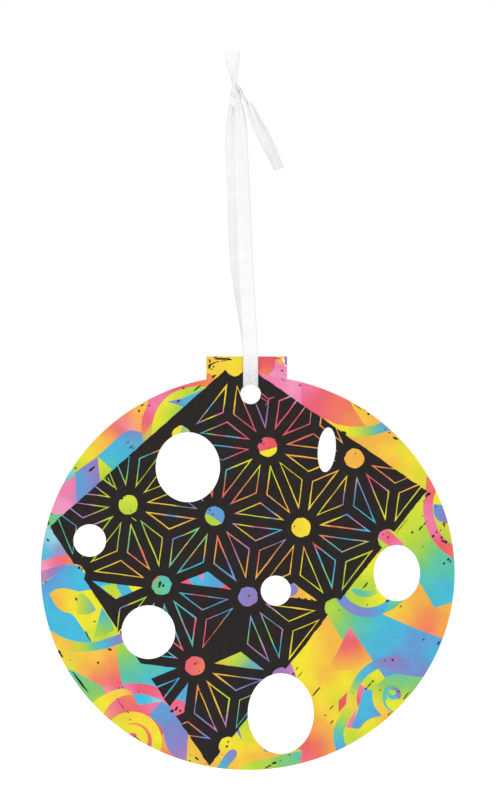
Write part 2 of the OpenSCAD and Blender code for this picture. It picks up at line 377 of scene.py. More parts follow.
def loose_end(name, route, phase):
    """A short ribbon end. Its cut edge is slightly ragged: a few sines of s push the last rows along."""
    middle, centre = swept(route, LOOSE_ROWS, folds=2.0, cup=0.09, phase=phase)
    s = np.linspace(-1, 1, ACROSS)
    fray = 0.10 * np.sin(17 * s + phase) + 0.07 * np.sin(31 * s) + 0.12 * s
    ramp = np.clip(np.linspace(-11, 1, LOOSE_ROWS), 0, 1)[:, None]
    ahead = unit(centre[-1] - centre[-2])
    middle = middle + (ramp * fray)[..., None] * MM * ahead
    made = put(name, *shell(middle), white_satin, "ribbon")
    lay_pattern(made, ribbon_uv(middle))
    return made


top_end = loose_end("top_end", TOP_ROUTE, 0.6)
tail = loose_end("tail", TAIL_ROUTE, 2.2)

KNOT_ROWS = 90
CORE_COLUMNS = 97
# Heights on the bundle inside the knot, with its half width and half depth at each.
CORE_LEVELS = [-1.3, 0.2, 1.6, 2.8, 3.6, 4.25]
CORE_WIDE = [1.05, 1.16, 1.12, 0.82, 0.46, 0.36]
CORE_DEEP = [0.75, 0.92, 0.95, 0.74, 0.42, 0.30]


def gathered_core():
    """The strands gathered inside the knot: an upright pleated bundle. At each height it is an ellipse,
    and two cosines round it raise and lower its radius into pleats."""
    height = np.linspace(CORE_LEVELS[-1], CORE_LEVELS[0], KNOT_ROWS)[:, None]
    around = np.linspace(0, 2 * np.pi, CORE_COLUMNS)[None, :]
    wide = np.interp(height, CORE_LEVELS, CORE_WIDE)
    deep = np.interp(height, CORE_LEVELS, CORE_DEEP)
    pleat = 1 + 0.10 * np.cos(7 * around + 0.9 * height) + 0.05 * np.cos(12 * around - 1.7 * height + 1)
    x = -0.55 - 0.08 * height + wide * pleat * np.cos(around)
    y = deep * pleat * np.sin(around)
    return np.stack([x, y, height + 0 * around], axis=-1) * MM


def wound_collar(start, turns, low, rise, wide, deep, width, phase):
    """Ribbon wound round the bundle: the angle runs along it and s across it. The height climbs with the
    angle, the radius is an ellipse that falls off with s squared so that the edges grip, and fine pleats
    run along it."""
    angle = np.linspace(start, start + turns * 2 * np.pi, KNOT_ROWS * 2)[:, None]
    s = np.linspace(-1, 1, ACROSS)[None, :]
    share = (angle - start) / (turns * 2 * np.pi)
    grip = 1 - 0.20 * s ** 2 + 0.045 * np.cos(5.5 * np.pi * s + phase + 2 * angle)
    x = -0.50 + wide * grip * np.cos(angle) - 0.05 * (low + rise * share)
    y = deep * grip * np.sin(angle)
    z = low + rise * share + width / 2 * s * (1 + 0.12 * np.cos(angle + phase)) + 0.35 * np.cos(angle - 0.6)
    return np.stack([x + 0 * s, y + 0 * s, z + 0 * angle], axis=-1) * MM


def tube_faces(rows, columns):
    """Quads of a grid that closes on itself round its second direction, where the first and last columns
    are the same points, with strips of quads across each end and a triangle at each strip's two tips."""
    k = np.arange(rows * columns).reshape(rows, columns)
    k[:, -1] = k[:, 0]
    side = np.stack([k[:-1, :-1], k[:-1, 1:], k[1:, 1:], k[1:, :-1]], axis=-1).reshape(-1, 4)
    half = (columns - 1) // 2
    n = np.arange(half)
    top = np.stack([k[0, n], k[0, columns - 1 - n], k[0, columns - 2 - n], k[0, n + 1]], axis=-1)
    foot = np.stack([k[-1, n + 1], k[-1, columns - 2 - n], k[-1, columns - 1 - n], k[-1, n]], axis=-1)
    ends = np.vstack([top[1:-1], foot[1:-1]])
    tips = [k[0, [0, columns - 2, 1]], k[-1, [1, columns - 2, 0]],
            k[0, [half - 1, half + 1, half]], k[-1, [half, half + 1, half - 1]]]
    return side, ends, np.array(tips)


core = gathered_core()
rows, columns = core.shape[:2]
side, ends, tips = tube_faces(rows, columns)
knot_points = [core.reshape(-1, 3)]
knot_faces = [side, ends, tips]
knot_uv = [np.stack([core[..., 0], core[..., 2]], axis=-1).reshape(-1, 2)]
count = rows * columns
# Each collar in the order that wound_collar() takes, from its first angle to its phase.
COLLARS = [
    [math.radians(200), 1.15, 0.15, 0.95, 1.34, 1.16, 1.9, 0.4],
    [math.radians(-60), 0.62, 1.45, 0.95, 1.02, 1.00, 1.5, 2.1],
]
for numbers in COLLARS:
    middle = wound_collar(*numbers)
    points, faces = shell(middle, RIBBON_T * 0.9)
    knot_points.append(points)
    knot_faces.append(faces + count)
    knot_uv.append(ribbon_uv(middle))
    count += len(points)
knot = put("knot", np.vstack(knot_points), [f for part in knot_faces for f in part], white_satin, "ribbon")
lay_pattern(knot, np.vstack(knot_uv))
for made, node in ((knot, "ribbon_knot"), (top_end, "ribbon_top_end"), (tail, "ribbon_tail")):
    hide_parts(node)
    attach(made, "knot")

# Bight. The same ribbon bends through the punched hole and lies flat up both faces of the tab. Only the
# pull of its two strands holds it there, so the card can swing on it.
HOLE_AT = (3.1, -71.9)
BIGHT_OFF = 0.50
BIGHT_TOP = -62.5
BIGHT_R = 2.3
BIGHT_ROWS = 150


def turned_bight():
    """The ribbon's turn over the hole's top edge: down the front face, round a flattened half circle, and
    up the back face. The turn's height under the edge is a circle about the hole's centre, so that the
    ribbon curves with the hole."""
    s = np.linspace(-1, 1, ACROSS)[None, :]
    x = HOLE_AT[0] + RIBBON_W / MM / 2 * s
    arch = HOLE_AT[1] + np.sqrt(BIGHT_R ** 2 - (x - HOLE_AT[0]) ** 2)
    t = np.linspace(0, 1, BIGHT_ROWS)[:, None]
    leg = 0.42
    down = np.clip(t / leg, 0, 1)
    up = np.clip((t - 1 + leg) / leg, 0, 1)
    turn = np.pi * np.clip((t - leg) / (1 - 2 * leg), 0, 1)
    y = -BIGHT_OFF * np.sign(np.cos(turn)) * np.abs(np.cos(turn)) ** 0.75
    bend = arch + 0.5 - 0.5 * np.sin(turn) ** 0.75
    z = bend + (BIGHT_TOP - bend) * (1 - down) + (BIGHT_TOP - bend) * up
    y = y - 0.05 * np.sin(np.pi * down) * (turn == 0) + 0.05 * np.sin(np.pi * up) * (turn >= np.pi)
    return np.stack(np.broadcast_arrays(x, y, z), axis=-1) * MM


middle = turned_bight()
bight = put("bight", *shell(middle), white_satin, "ribbon")
lay_pattern(bight, ribbon_uv(middle))
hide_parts("ribbon_bight")
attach(bight, "bight")

# The strands leave the bight just above the tab, limp and hanging, and end in the knot.
for made, line, off, others in ((front_strand, front_line, -BIGHT_OFF, [knot, top_end, tail, bight]),
                                (back_strand, back_line, BIGHT_OFF, [])):
    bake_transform(made)

# Board and back paper. The card is white board, die cut with its tab and holes, and lined behind
# with plain white paper. Both are CAD parts that only take a finish here.


def grain_group():
    """Paper and ink grain shared by the card's layers: a soft cloud, a fine tooth and short fibres."""
    group = bpy.data.node_groups.new("grain", "ShaderNodeTree")
    group.interface.new_socket("Cloud Scale", in_out="INPUT", socket_type="NodeSocketFloat")
    group.interface.new_socket("Tooth Scale", in_out="INPUT", socket_type="NodeSocketFloat")
    for name in ("Cloud", "Tooth", "Fibre"):
        group.interface.new_socket(name, in_out="OUTPUT", socket_type="NodeSocketFloat")
    given = group.nodes.new("NodeGroupInput")
    result = group.nodes.new("NodeGroupOutput")
    place = group.nodes.new("ShaderNodeTexCoord").outputs["Object"]
    cloud = add(group, "ShaderNodeTexNoise", Vector=place, Scale=given.outputs["Cloud Scale"], Detail=4.0)
    tooth = add(group, "ShaderNodeTexNoise", Vector=place, Scale=given.outputs["Tooth Scale"], Detail=2.0)
    turned = add(group, "ShaderNodeMapping", Vector=place, Rotation=(0, 0.6, 0), Scale=(1, 1, 0.12))
    fibre = add(group, "ShaderNodeTexNoise", Vector=turned.outputs["Vector"],
                Scale=given.outputs["Tooth Scale"], Detail=3.0, Distortion=0.6)
    for name, made in (("Cloud", cloud), ("Tooth", tooth), ("Fibre", fibre)):
        group.links.new(made.outputs["Fac"], result.inputs[name])
    return group


grain = grain_group()
PAPER_RELIEF = 0.02 * MM


def grained(tree, cloud_scale, tooth_scale):
    """The grain group placed in a material with that layer's own scales."""
    made = tree.nodes.new("ShaderNodeGroup")
    made.node_tree = grain
    made.inputs["Cloud Scale"].default_value = cloud_scale
    made.inputs["Tooth Scale"].default_value = tooth_scale
    return made


def paper(name, dark, light, roughness, tooth_scale):
    """Uncoated paper or board: cloudy tone, fibres a little darker, and a toothed surface."""
    made, tree, shader = material(name, roughness, 0.25)
    look = grained(tree, 160.0, tooth_scale)
    colour = blended(tree, ramped(tree, look.outputs["Cloud"], (0.35, 0.65)), dark, light)
    fibre = ramped(tree, look.outputs["Fibre"], (0.45, 0.7), (1.0, 0.93))
    tree.links.new(scaled(tree, colour, fibre), shader.inputs["Base Color"])
    surfaced(tree, shader, look.outputs["Fibre"], roughness - 0.08, roughness + 0.08, look.outputs["Tooth"],
             PAPER_RELIEF, 0.6)
    return made


def refinish(node, finish):
    """A CAD part keeps its shape and takes a new material."""
    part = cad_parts[node]
    part.data.materials.clear()
    part.data.materials.append(finish)


white_board = paper("white_board", linear(236, 232, 224), linear(244, 241, 235), 0.8, 5200.0)
lining_paper = paper("lining_paper", linear(217, 215, 209), linear(221, 219, 214), 0.7, 3800.0)
refinish("card_core", white_board)
refinish("back_paper", lining_paper)

# Print. The card's face is printed all over with patches of bright colour that melt into each
# other: arcs, wedges, rings and curls. The sheet has the card's outline and holes, and is 0.05 mm thick.
DISC_W = 101.6
DISC_H = 96.9
TAB_W = 19.8
TAB_TOP = 53.1
TAB_X = -0.25
BOARD_T = 0.4
SKIN_T = 0.05
PRINT_Y = -BOARD_T / 2 - SKIN_T
# Each hole: x and z from the disc's centre, half its width and height, and its lean in degrees.
HOLES = {
    "oval_upper_left": [-14.7, 25.9, 7.9, 8.6, 0], "oval_slit": [19.4, 30.2, 2.2, 5.5, 5],
    "round_left": [-38.8, 7.9, 4.0, 4.0, 0], "oval_right": [36.6, -0.1, 5.7, 6.9, 0],
    "round_centre": [6.9, -4.4, 3.7, 3.7, 0], "round_lower_left": [-24.4, -14.6, 6.6, 6.6, 0],
    "oval_bottom": [8.1, -34.6, 8.1, 9.9, 0], "hanging_hole": [0.7, 43.9, 2.5, 2.5, 0],
}
DISC_AT = np.array(HOLE_AT) - HOLES["hanging_hole"][:2]


def ellipse(x, z, wide, high, lean=0, count=96):
    """Points round an ellipse: its half sizes times the angle's cosine and sine, leant to the right."""
    t = np.linspace(0, 2 * np.pi, count, endpoint=False)
    a = np.radians(-lean)
    u, v = wide * np.cos(t), high * np.sin(t)
    return np.stack([x + u * np.cos(a) - v * np.sin(a), z + u * np.sin(a) + v * np.cos(a)], axis=-1)


def card_outline():
    """The disc, an ellipse, whose top is interrupted by the square tab."""
    half = TAB_W / 2
    t = np.linspace(0, 2 * np.pi, 361)[:-1]
    disc = np.stack([DISC_W / 2 * np.cos(t), DISC_H / 2 * np.sin(t)], axis=-1)
    under = (np.abs(disc[:, 0] - TAB_X) < half) & (disc[:, 1] > 0)
    first, last = np.flatnonzero(under)[[0, -1]]
    edge = np.array([TAB_X + half, TAB_X - half])
    foot = DISC_H / 2 * np.sqrt(1 - (edge / (DISC_W / 2)) ** 2)
    tab = np.array([[edge[0], foot[0]], [edge[0], TAB_TOP], [edge[1], TAB_TOP], [edge[1], foot[1]]])
    return np.vstack([disc[:first], tab, disc[last + 1:]])


def curve(points, step=0.5):
    """A closed outline through the points. A point given twice is a corner, and elsewhere the line is a
    closed Catmull-Rom curve, so that it passes through each point along its neighbours' chord."""
    p = np.array(points, float)
    n = len(p)
    a, b, c, d = (np.roll(p, k, axis=0) for k in (1, 0, -1, -2))
    spans = np.maximum((np.linalg.norm(c - b, axis=1) / step).astype(int), 1)
    spans[np.linalg.norm(c - b, axis=1) < 1e-9] = 0
    k = np.repeat(np.arange(n), spans)
    share = (np.arange(len(k)) - np.repeat(np.cumsum(spans) - spans, spans)) / spans[k]
    return spanned(a[k], b[k], c[k], d[k], share[:, None])


def straight(points, step=1.2):
    """A closed outline of straight sides, each divided into short steps."""
    return curve([q for p in points for q in (p, p)], step)


def arc_band(x, z, inner, outer, start, end):
    """A band between two arcs about one centre, from one angle to another in degrees. Radii may be given
    as a pair, at its start and at its end, which makes it a curl."""
    t = np.radians(np.linspace(start, end, max(int(abs(end - start) / 5), 4)))
    f = np.linspace(0, 1, len(t))
    low = np.interp(f, [0, 1], np.broadcast_to(inner, 2))
    high = np.interp(f, [0, 1], np.broadcast_to(outer, 2))
    ray = np.stack([np.cos(t), np.sin(t)], axis=-1)
    return np.vstack([high[:, None] * ray, (low[:, None] * ray)[::-1]]) + [x, z]


def divide(loops, loose=np.empty((0, 2))):
    """The plane cut into triangles along every loop, with loose points between. It returns the points, the
    triangles, and for each loop which triangles lie inside it."""
    area = [np.sum(p[:, 0] * np.roll(p[:, 1], -1) - p[:, 1] * np.roll(p[:, 0], -1)) for p in loops]
    loops = [p if a > 0 else p[::-1] for p, a in zip(loops, area)]
    starts = np.concatenate([[0], np.cumsum([len(p) for p in loops])])
    faces = [list(range(a, b)) for a, b in zip(starts[:-1], starts[1:])]
    points = np.vstack(loops + [loose])
    made = delaunay_2d_cdt([Vector(p) for p in points.tolist()], [], faces, 0, 1e-5, True)
    triangles = np.array(made[2])
    owners = made[5]
    inside = np.zeros((len(loops), len(triangles)), bool)
    which = np.repeat(np.arange(len(owners)), [len(o) for o in owners])
    inside[np.concatenate(owners).astype(int), which] = True
    return np.array([p[:] for p in made[0]]), triangles, inside


def slab(points, triangles, front, thickness):
    """A flat layer: the triangles at its front, the same turned over at its back, and a wall along every
    edge that only one triangle has. It also returns each face's source triangle."""
    used, triangles = np.unique(triangles, return_inverse=True)
    triangles = triangles.reshape(-1, 3)
    flat = points[used] + DISC_AT
    n = len(flat)
    sides = (front, front + thickness)
    corners = np.vstack([np.column_stack([flat[:, 0], np.full(n, y), flat[:, 1]]) for y in sides])
    start = triangles.ravel()
    end = np.roll(triangles, -1, axis=1).ravel()
    alone = ~np.isin(start * n + end, end * n + start)
    a, b = start[alone], end[alone]
    wall = np.vstack([np.column_stack([b, a, a + n]), np.column_stack([b, a + n, b + n])])
    source = np.arange(len(triangles))
    edge = np.repeat(source, 3)[alone]
    return (corners * MM, np.vstack([triangles, triangles[:, ::-1] + n, wall]),
            np.concatenate([source, source, edge, edge]))


# Inks by name, in display values.
INKS = {
    "yellow": (232, 220, 30), "amber": (236, 198, 50), "orange": (233, 170, 62), "ember": (230, 134, 74),
    "coral": (228, 106, 90), "red": (220, 78, 80), "crimson": (224, 84, 108), "pink": (230, 116, 158),
    "rose": (236, 146, 184), "mauve": (192, 122, 176), "purple": (144, 112, 178), "violet": (122, 126, 190),
    "blue": (88, 150, 204), "sky": (58, 178, 212), "pale": (138, 206, 216), "teal": (78, 184, 168),
    "green": (116, 190, 112), "lime": (170, 202, 50), "spring": (204, 212, 42), "white": (246, 244, 240),
}
# The power by which an ink fades with distance, and the distance in millimetres that softens it.
MELTING = (3, 1.5)
SHARP = (7, 0.1)
PATCHES = []


def patch(outline, *inks, meeting=MELTING):
    """One printed patch: its outline, its inks as x, z and name, and how they meet."""
    PATCHES.append((outline, inks, meeting))


# Under the coating: one spot of ink for each stretch that the scratches open, meeting sharply.
patch(
    card_outline(),
    (-9, 44, "amber"), (-6.5, 41.5, "yellow"), (-6.6, 39.5, "pink"), (-10, 40.8, "sky"),
    (-12, 37.5, "violet"), (-9.5, 37.6, "yellow"), (-3.5, 43, "amber"), (-3, 39.5, "orange"),
    (-6, 36.6, "pink"), (-9.5, 35.4, "lime"), (-10.4, 34.2, "sky"), (-7, 34, "crimson"),
    (-3, 36, "crimson"), (-1.5, 38.5, "crimson"), (0, 34, "crimson"), (2, 40, "crimson"),
    (3.9, 39.5, "violet"), (3.2, 41.2, "sky"), (4.6, 42.5, "crimson"), (7.5, 38, "crimson"),
    (11, 38.5, "crimson"), (14.5, 38, "coral"), (16, 37.6, "violet"), (12, 34, "crimson"),
    (15.4, 35.4, "coral"), (18.2, 36.6, "ember"), (0, 31, "crimson"), (-2, 32.4, "crimson"),
    (-3.5, 33.4, "sky"), (-6, 31.2, "sky"), (-6, 28.4, "violet"), (-3, 29.2, "crimson"),
    (12, 31.2, "ember"), (15, 33.4, "coral"), (16, 30.6, "orange"), (22.4, 32.8, "orange"),
    (12, 28.4, "orange"), (12.4, 26.4, "amber"), (16, 28, "orange"), (15.5, 25, "amber"),
    (9, 25.4, "yellow"), (13.2, 23.4, "yellow"), (9.2, 21, "yellow"), (12.6, 17.5, "amber"),
    (8.4, 16.4, "orange"), (5, 21, "orange"), (5.5, 25, "spring"), (2.8, 25.4, "spring"),
    (2.2, 21.4, "ember"), (0, 21.8, "ember"), (0.6, 27, "yellow"), (-2.6, 25.6, "spring"),
    (-5, 24.8, "teal"), (-6, 21, "coral"), (-8.8, 19.4, "coral"), (-4.4, 17.6, "coral"),
    (-2, 20.4, "ember"), (2.6, 18.8, "ember"), (2.8, 16.8, "orange"), (0.6, 16, "amber"),
    (5, 15.4, "violet"), (7.6, 13.8, "orange"), (0, 14.4, "spring"), (3.6, 13.8, "spring"),
    (6.2, 13.3, "blue"), (16.4, 22, "orange"), (15.4, 18, "amber"), (20, 23.6, "orange"),
    (22.4, 21, "amber"), (24.4, 22, "amber"), (23.8, 18, "purple"), (19.8, 17.6, "amber"),
    (18, 14.4, "yellow"), (22, 16, "amber"), (21, 13.2, "yellow"), (24.2, 14.2, "blue"),
    (18.4, 11.8, "amber"), (20.6, 11.2, "coral"), (26.6, 20.4, "violet"), (28.4, 20, "blue"),
    (26.4, 17, "blue"), (28, 14.8, "sky"), (31, 12.6, "sky"), (30.4, 17, "violet"), (30.6, 23, "crimson"),
    (33, 21.6, "pink"), (32, 18.6, "amber"), (34.4, 18, "spring"), (33.8, 13.6, "yellow"),
    (33, 25.6, "ember"), (34, 24, "coral"), (37, 22.2, "orange"), (40, 22, "orange"),
    (38.6, 20, "orange"), (41, 18.4, "spring"), (37, 16, "spring"), (39, 16, "spring"), (27, 12, "pink"),
    (25, 10.6, "coral"), (28, 10.4, "sky"), (24, 8.4, "sky"), (22, 6, "teal"), (28, 5, "orange"),
    (25, 3.4, "orange"), (28.6, 2.2, "spring"), (26, -1.6, "spring"), (23.6, 1.2, "sky"),
    (20.6, 1, "blue"), (22.4, -2.8, "sky"), (19, -0.6, "green"), (16.6, 0.6, "spring"),
    (13.6, 2, "yellow"), (15, -2, "yellow"), (18.6, -4.6, "spring"), (18, 4, "sky"),
    (16.4, 6.8, "crimson"), (13.4, 5.4, "orange"), (11.4, 7.6, "amber"), (8.4, 5, "ember"),
    (10, 2.2, "orange"), (5.2, 1, "orange"), (3, 3.4, "coral"), (7, 8.4, "violet"), (3.4, 11.4, "pink"),
    (6.6, 10.8, "sky"), (-1.4, 11.2, "yellow"), (-2.8, 12.2, "mauve"), (-1.6, 6.4, "mauve"),
    (-5.4, 7.2, "coral"), (-9.4, 5.4, "orange"), (-12.4, 8.2, "green"), (-12.8, 10.6, "green"),
    (-14.6, 5.4, "amber"), (-17, 2.4, "teal"), (-12.4, 2.4, "sky"), (-20, 5, "spring"),
    (-3, 2.4, "purple"), (-5, 0, "blue"), (-1, 1.4, "orange"), (-18, 8, "violet"), (-38.4, 19.4, "mauve"),
    (-36.6, 21, "violet"), (-35, 19.4, "spring"), (-33.6, 22.6, "lime"), (-31.5, 25, "teal"),
    (-29.8, 26.4, "teal"), (-30.6, 22.2, "lime"), (-27.2, 26.2, "teal"), (-24.6, 29, "teal"),
    (-27.4, 22.4, "lime"), (-24.6, 25.4, "lime"), (-22.6, 30.4, "orange"), (-23.4, 21.4, "yellow"),
    (-22, 20.6, "spring"), (-23.6, 18.2, "amber"), (-20, 17.2, "amber"), (-18, 16.8, "spring"),
    (-15.6, 16.2, "violet"), (-36.4, 15.2, "spring"), (-38.6, 18, "mauve"), (-40.4, 14.6, "mauve"),
    (-44.2, 12.6, "sky"), (-45.8, 11, "teal"), (-43, 13, "violet"), (-44, 7, "teal"),
    (-42.8, 8.6, "lime"), (-37.4, 12.6, "mauve"), (-35.4, 13.6, "lime"), (-34, 11.8, "lime"),
    (-31.6, 10, "lime"), (-31.8, 7, "lime"), (-34.6, 5.4, "amber"), (-38.4, 3.4, "spring"),
    (-30, 9, "green"), (-30, 6, "green"), (-27.8, 11, "lime"), (-29.4, 13.4, "lime"),
    (-37, 1.8, "yellow"), (-33.4, 3.6, "amber"), (-31.2, 3.6, "orange"), (-28.6, 1.6, "ember"),
    (-30, -0.2, "amber"), (-26, -0.2, "orange"), (-27.6, 3.6, "coral"), (-24, 14.6, "amber"),
    (-21.4, 14, "orange"), (-18.6, 14.2, "blue"), (-15.2, 13.4, "ember"), (-22.4, 12.4, "orange"),
    (-19.6, 11, "amber"), (-16.4, 12.2, "amber"), (-26, 12.6, "green"), (-24, 9.6, "lime"),
    (-15, -7, "sky"), (-12, -5, "crimson"), (-6.4, -5.6, "violet"), (-8.4, -8.2, "sky"),
    (-5, -8.6, "blue"), (-17.4, -7, "teal"), (-18.4, -10, "teal"), (-13.6, -9.4, "sky"),
    (-13.4, -13, "crimson"), (-14.6, -17, "teal"), (-16.6, -15, "sky"), (-10.4, -11.4, "pink"),
    (-10.8, -15, "crimson"), (-7.6, -13.4, "ember"), (-17.4, -17.8, "crimson"), (-19, -20, "sky"),
    (-16.8, -20.6, "pink"), (-20.4, -8, "teal"), (1.6, -10, "violet"), (4, -9, "mauve"),
    (9, -8, "yellow"), (13, -9.2, "amber"), (10, -11.4, "spring"), (6.4, -11.4, "sky"),
    (8.4, -14, "mauve"), (7.6, -18, "sky"), (5.4, -15, "lime"), (3.6, -12.6, "green"),
    (1.4, -15.4, "green"), (3, -19, "mauve"), (5, -21.4, "violet"), (11, -14, "spring"),
    (14.6, -12.6, "yellow"), (13, -16, "spring"), (10.4, -19, "lime"), (-1, -12, "blue"),
    (-2.4, -16, "violet"), (-4, -25, "amber"), (-6, -26, "orange"), (-3, -28.6, "violet"),
    (0, -27.4, "violet"), (-8.6, -28, "orange"), (-7.4, -28, "yellow"), (-5.4, -31, "lime"),
    (-5.8, -36.4, "mauve"), (-7.6, -33.6, "amber"), (-12.6, -28.6, "ember"), (-11, -31, "orange"),
    (-13.4, -33, "violet"), (-11.4, -36.4, "violet"), (-8.4, -38.4, "mauve"), (-2.6, -32, "spring"),
    (-3.4, -36.4, "teal"), (-1, -34, "sky"), (-15, -36, "red"), (-13, -37.6, "ember"),
    (-10.6, -39.8, "violet"), (-14, -39.8, "red"), (-19.6, -26, "sky"), (-20, -28.6, "sky"),
    (-22.6, -27.6, "sky"), (-31, -8, "violet"), (-29, -7, "spring"), (-32, -11, "spring"),
    (-26, -6.6, "lime"), (-28.4, -10, "violet"), (-31.4, -13.6, "spring"),
    meeting=SHARP)

# Tab.
patch(straight([(-12, 45), (-12, 55), (1, 55), (1, 46)]), (-9.8, 52.4, "orange"), (-9.8, 48.6, "amber"),
      (-6.6, 50.4, "amber"), (-3.4, 51.6, "yellow"), (-7.4, 52.8, "amber"), (-2, 50, "amber"))
patch(straight([(1, 55), (7.6, 55), (7, 51), (4.6, 48), (3.4, 46), (1, 48)]), (2.6, 51, "red"),
      (4.2, 49, "ember"), (5.4, 51.8, "crimson"), (3, 52.6, "red"))
patch(straight([(7, 55), (12, 55), (12, 46), (9, 43.6), (4, 47.4), (6.6, 50.2)]), (8, 50, "pink"),
      (5.6, 48.4, "rose"), (6.8, 47.4, "mauve"), (8.8, 48.4, "rose"))
patch(straight([(6.9, 52.6), (7.6, 51.3), (8.5, 51), (9.2, 53.6), (7.2, 53.6)]), (7.6, 52.2, "orange"))
patch(straight([(9.0, 53.6), (10, 53.6), (10, 50.4), (9.5, 50.9)]), (9.6, 52, "violet"))
patch(straight([(8.3, 52.7), (8.7, 52.7), (9.5, 50.8), (9.3, 50.6), (9.0, 51.2)]), (9, 51.6, "white"))

# Upper left.
patch(straight([(-11, 49), (-8, 48.4), (-8.6, 45.4), (-11, 45.6), (-19, 43.4), (-28, 30), (-31, 38.4),
                (-21, 49)]), (-9, 46.8, "ember"), (-13, 46.6, "coral"), (-17, 45.2, "crimson"),
      (-21, 43, "pink"), (-23.4, 40.6, "pink"), (-24.8, 37.6, "crimson"), (-25, 35, "coral"),
      (-24.4, 33.2, "orange"))
patch(curve([(-9, 45.4), (-9, 45.4), (-12, 45.8), (-15, 45.4), (-18, 44.4), (-20.4, 42.6), (-22.4, 39.8),
             (-23.4, 36.6), (-23.6, 34), (-23.6, 34), (-19, 35), (-19, 35), (-12, 42), (-12, 42)]),
      (-10.6, 45.4, "lime"), (-14, 45, "lime"), (-17.6, 44, "spring"), (-20, 42.2, "yellow"),
      (-22.4, 38, "yellow"), (-20, 39.4, "spring"), (-18.4, 39, "lime"), (-16.6, 38.8, "green"),
      (-22.6, 35, "spring"))
patch(straight([(-19.8, 42), (-16, 42.8), (-11, 45), (-9, 44), (-14.6, 40), (-17, 41.2)]),
      (-18, 42, "violet"), (-14.6, 42, "sky"), (-11.6, 44, "sky"), (-16.6, 41.6, "blue"))
patch(curve([(-24, 44), (-24, 44), (-24.8, 41), (-25.8, 38.4), (-26.1, 36), (-26, 33), (-26, 33),
             (-30, 34), (-31, 33), (-31, 33), (-42.4, 24.6), (-42.4, 24.6), (-47, 26), (-47, 26),
             (-38, 38), (-30, 44)]), (-25.4, 41, "amber"), (-27, 38.4, "orange"), (-26.6, 35.6, "orange"),
      (-30, 38.4, "ember"), (-28.8, 36, "rose"), (-31, 36.6, "pink"), (-31, 35, "crimson"),
      (-33.4, 36.8, "coral"), (-34.6, 34.4, "ember"), (-34, 32.4, "orange"), (-36.6, 33, "amber"),
      (-37.4, 30, "amber"), (-39.6, 29, "yellow"), (-41, 26.6, "spring"), (-43.4, 25.8, "lime"))
patch(curve([(-30.4, 34.4), (-29.2, 34.9), (-27.4, 34.8), (-26, 34.4), (-26, 34.4), (-25.7, 32),
             (-25.7, 32), (-26, 30), (-33.6, 24.4), (-33.6, 24.4), (-36.8, 28.5), (-36.8, 28.5),
             (-33, 32.2)]), (-28, 34.2, "violet"), (-30, 33, "blue"), (-27.4, 32, "blue"),
      (-32, 30.6, "sky"), (-29.4, 30, "sky"), (-34.6, 28.6, "sky"), (-33.6, 26.4, "teal"),
      (-31, 28, "sky"), (-26.4, 31, "teal"))
patch(straight([(-36.8, 28.5), (-33.4, 25.4), (-35.4, 22), (-36.6, 22.4)]), (-35.6, 26.4, "spring"),
      (-35.2, 24, "lime"))
patch(straight([(-36.9, 28.2), (-36.2, 22.6), (-41, 17.4), (-42.2, 17.8), (-42.3, 24.4), (-39.5, 26.6)]),
      (-37.4, 26.6, "purple"), (-37.6, 24, "purple"), (-40, 25, "violet"), (-40.8, 22.4, "blue"),
      (-41.6, 20, "blue"), (-38.6, 22, "violet"), (-41.6, 23.6, "sky"))
patch(straight([(-42.4, 24.9), (-46, 27), (-48, 22), (-45.4, 21.6), (-42.5, 23.9)]), (-44.6, 24, "teal"),
      (-43.4, 24.8, "pale"))
patch(straight([(-42.4, 23.8), (-45.2, 21.9), (-48, 21.4), (-50.6, 14.4), (-45, 14.2), (-42, 17.4)]),
      (-43.4, 22, "pink"), (-45, 20.4, "pink"), (-46.4, 17.4, "rose"), (-43, 18.4, "mauve"),
      (-47.4, 15, "rose"), (-44, 15.4, "rose"))
patch(straight([(-45, 14.3), (-50, 14.5), (-51, 11), (-48, 10.6)]), (-47.6, 13.6, "green"),
      (-46, 13.8, "teal"), (-48.4, 12, "green"))

# Left side.
patch(straight([(-52, 12.2), (-48.4, 11.4), (-44, 3.8), (-52, 2)]), (-49.4, 9.6, "pale"),
      (-47.8, 7.4, "pale"), (-46.4, 5.6, "violet"), (-49.8, 5, "sky"), (-48, 10, "pale"),
      (-45, 5, "mauve"))
patch(curve([(-52, 2.6), (-52, 2.6), (-49.5, 3.2), (-47, 4), (-44.2, 4.4), (-44.2, 4.4), (-42.4, 2.6),
             (-41.4, 2.4), (-40.3, 1), (-40.3, 1), (-40.8, 0.8), (-41.8, 1.8), (-43, 2), (-45.5, 1.8),
             (-48, 1.2), (-52, -0.6), (-52, -0.6)]), (-50, 1.6, "rose"), (-47.6, 2.6, "pink"),
      (-46, 3, "crimson"), (-44.4, 3.2, "coral"), (-43, 2.4, "ember"), (-41.2, 2, "orange"))
patch(curve([(-52, -0.2), (-52, -0.2), (-48.6, 1), (-46, 1.8), (-44.4, 2), (-44.4, 2), (-46.4, 0.4),
             (-49, -1.6), (-52, -3), (-52, -3)]), (-50.2, -1, "mauve"), (-48, 0.4, "purple"),
      (-46, 1.4, "violet"))
patch(straight([(-52, -3), (-50.2, -2.8), (-48.4, -1.4), (-46.4, 0.4), (-44.6, 1.9), (-43, 2),
                (-41.6, 1.7), (-40.4, 0.4), (-37, -4.4), (-38.3, -17.3), (-41.5, -17), (-45, -16.1),
                (-48.5, -14.1), (-54, -12)]), (-45, 0.4, "blue"), (-42.6, 0, "sky"), (-50, -4.6, "blue"),
      (-43.4, -2.4, "sky"), (-47, -2, "blue"), (-49.4, -8, "sky"), (-47, -12, "sky"), (-42.6, -13, "sky"),
      (-44.4, -15.6, "sky"), (-40, -2.6, "sky"))
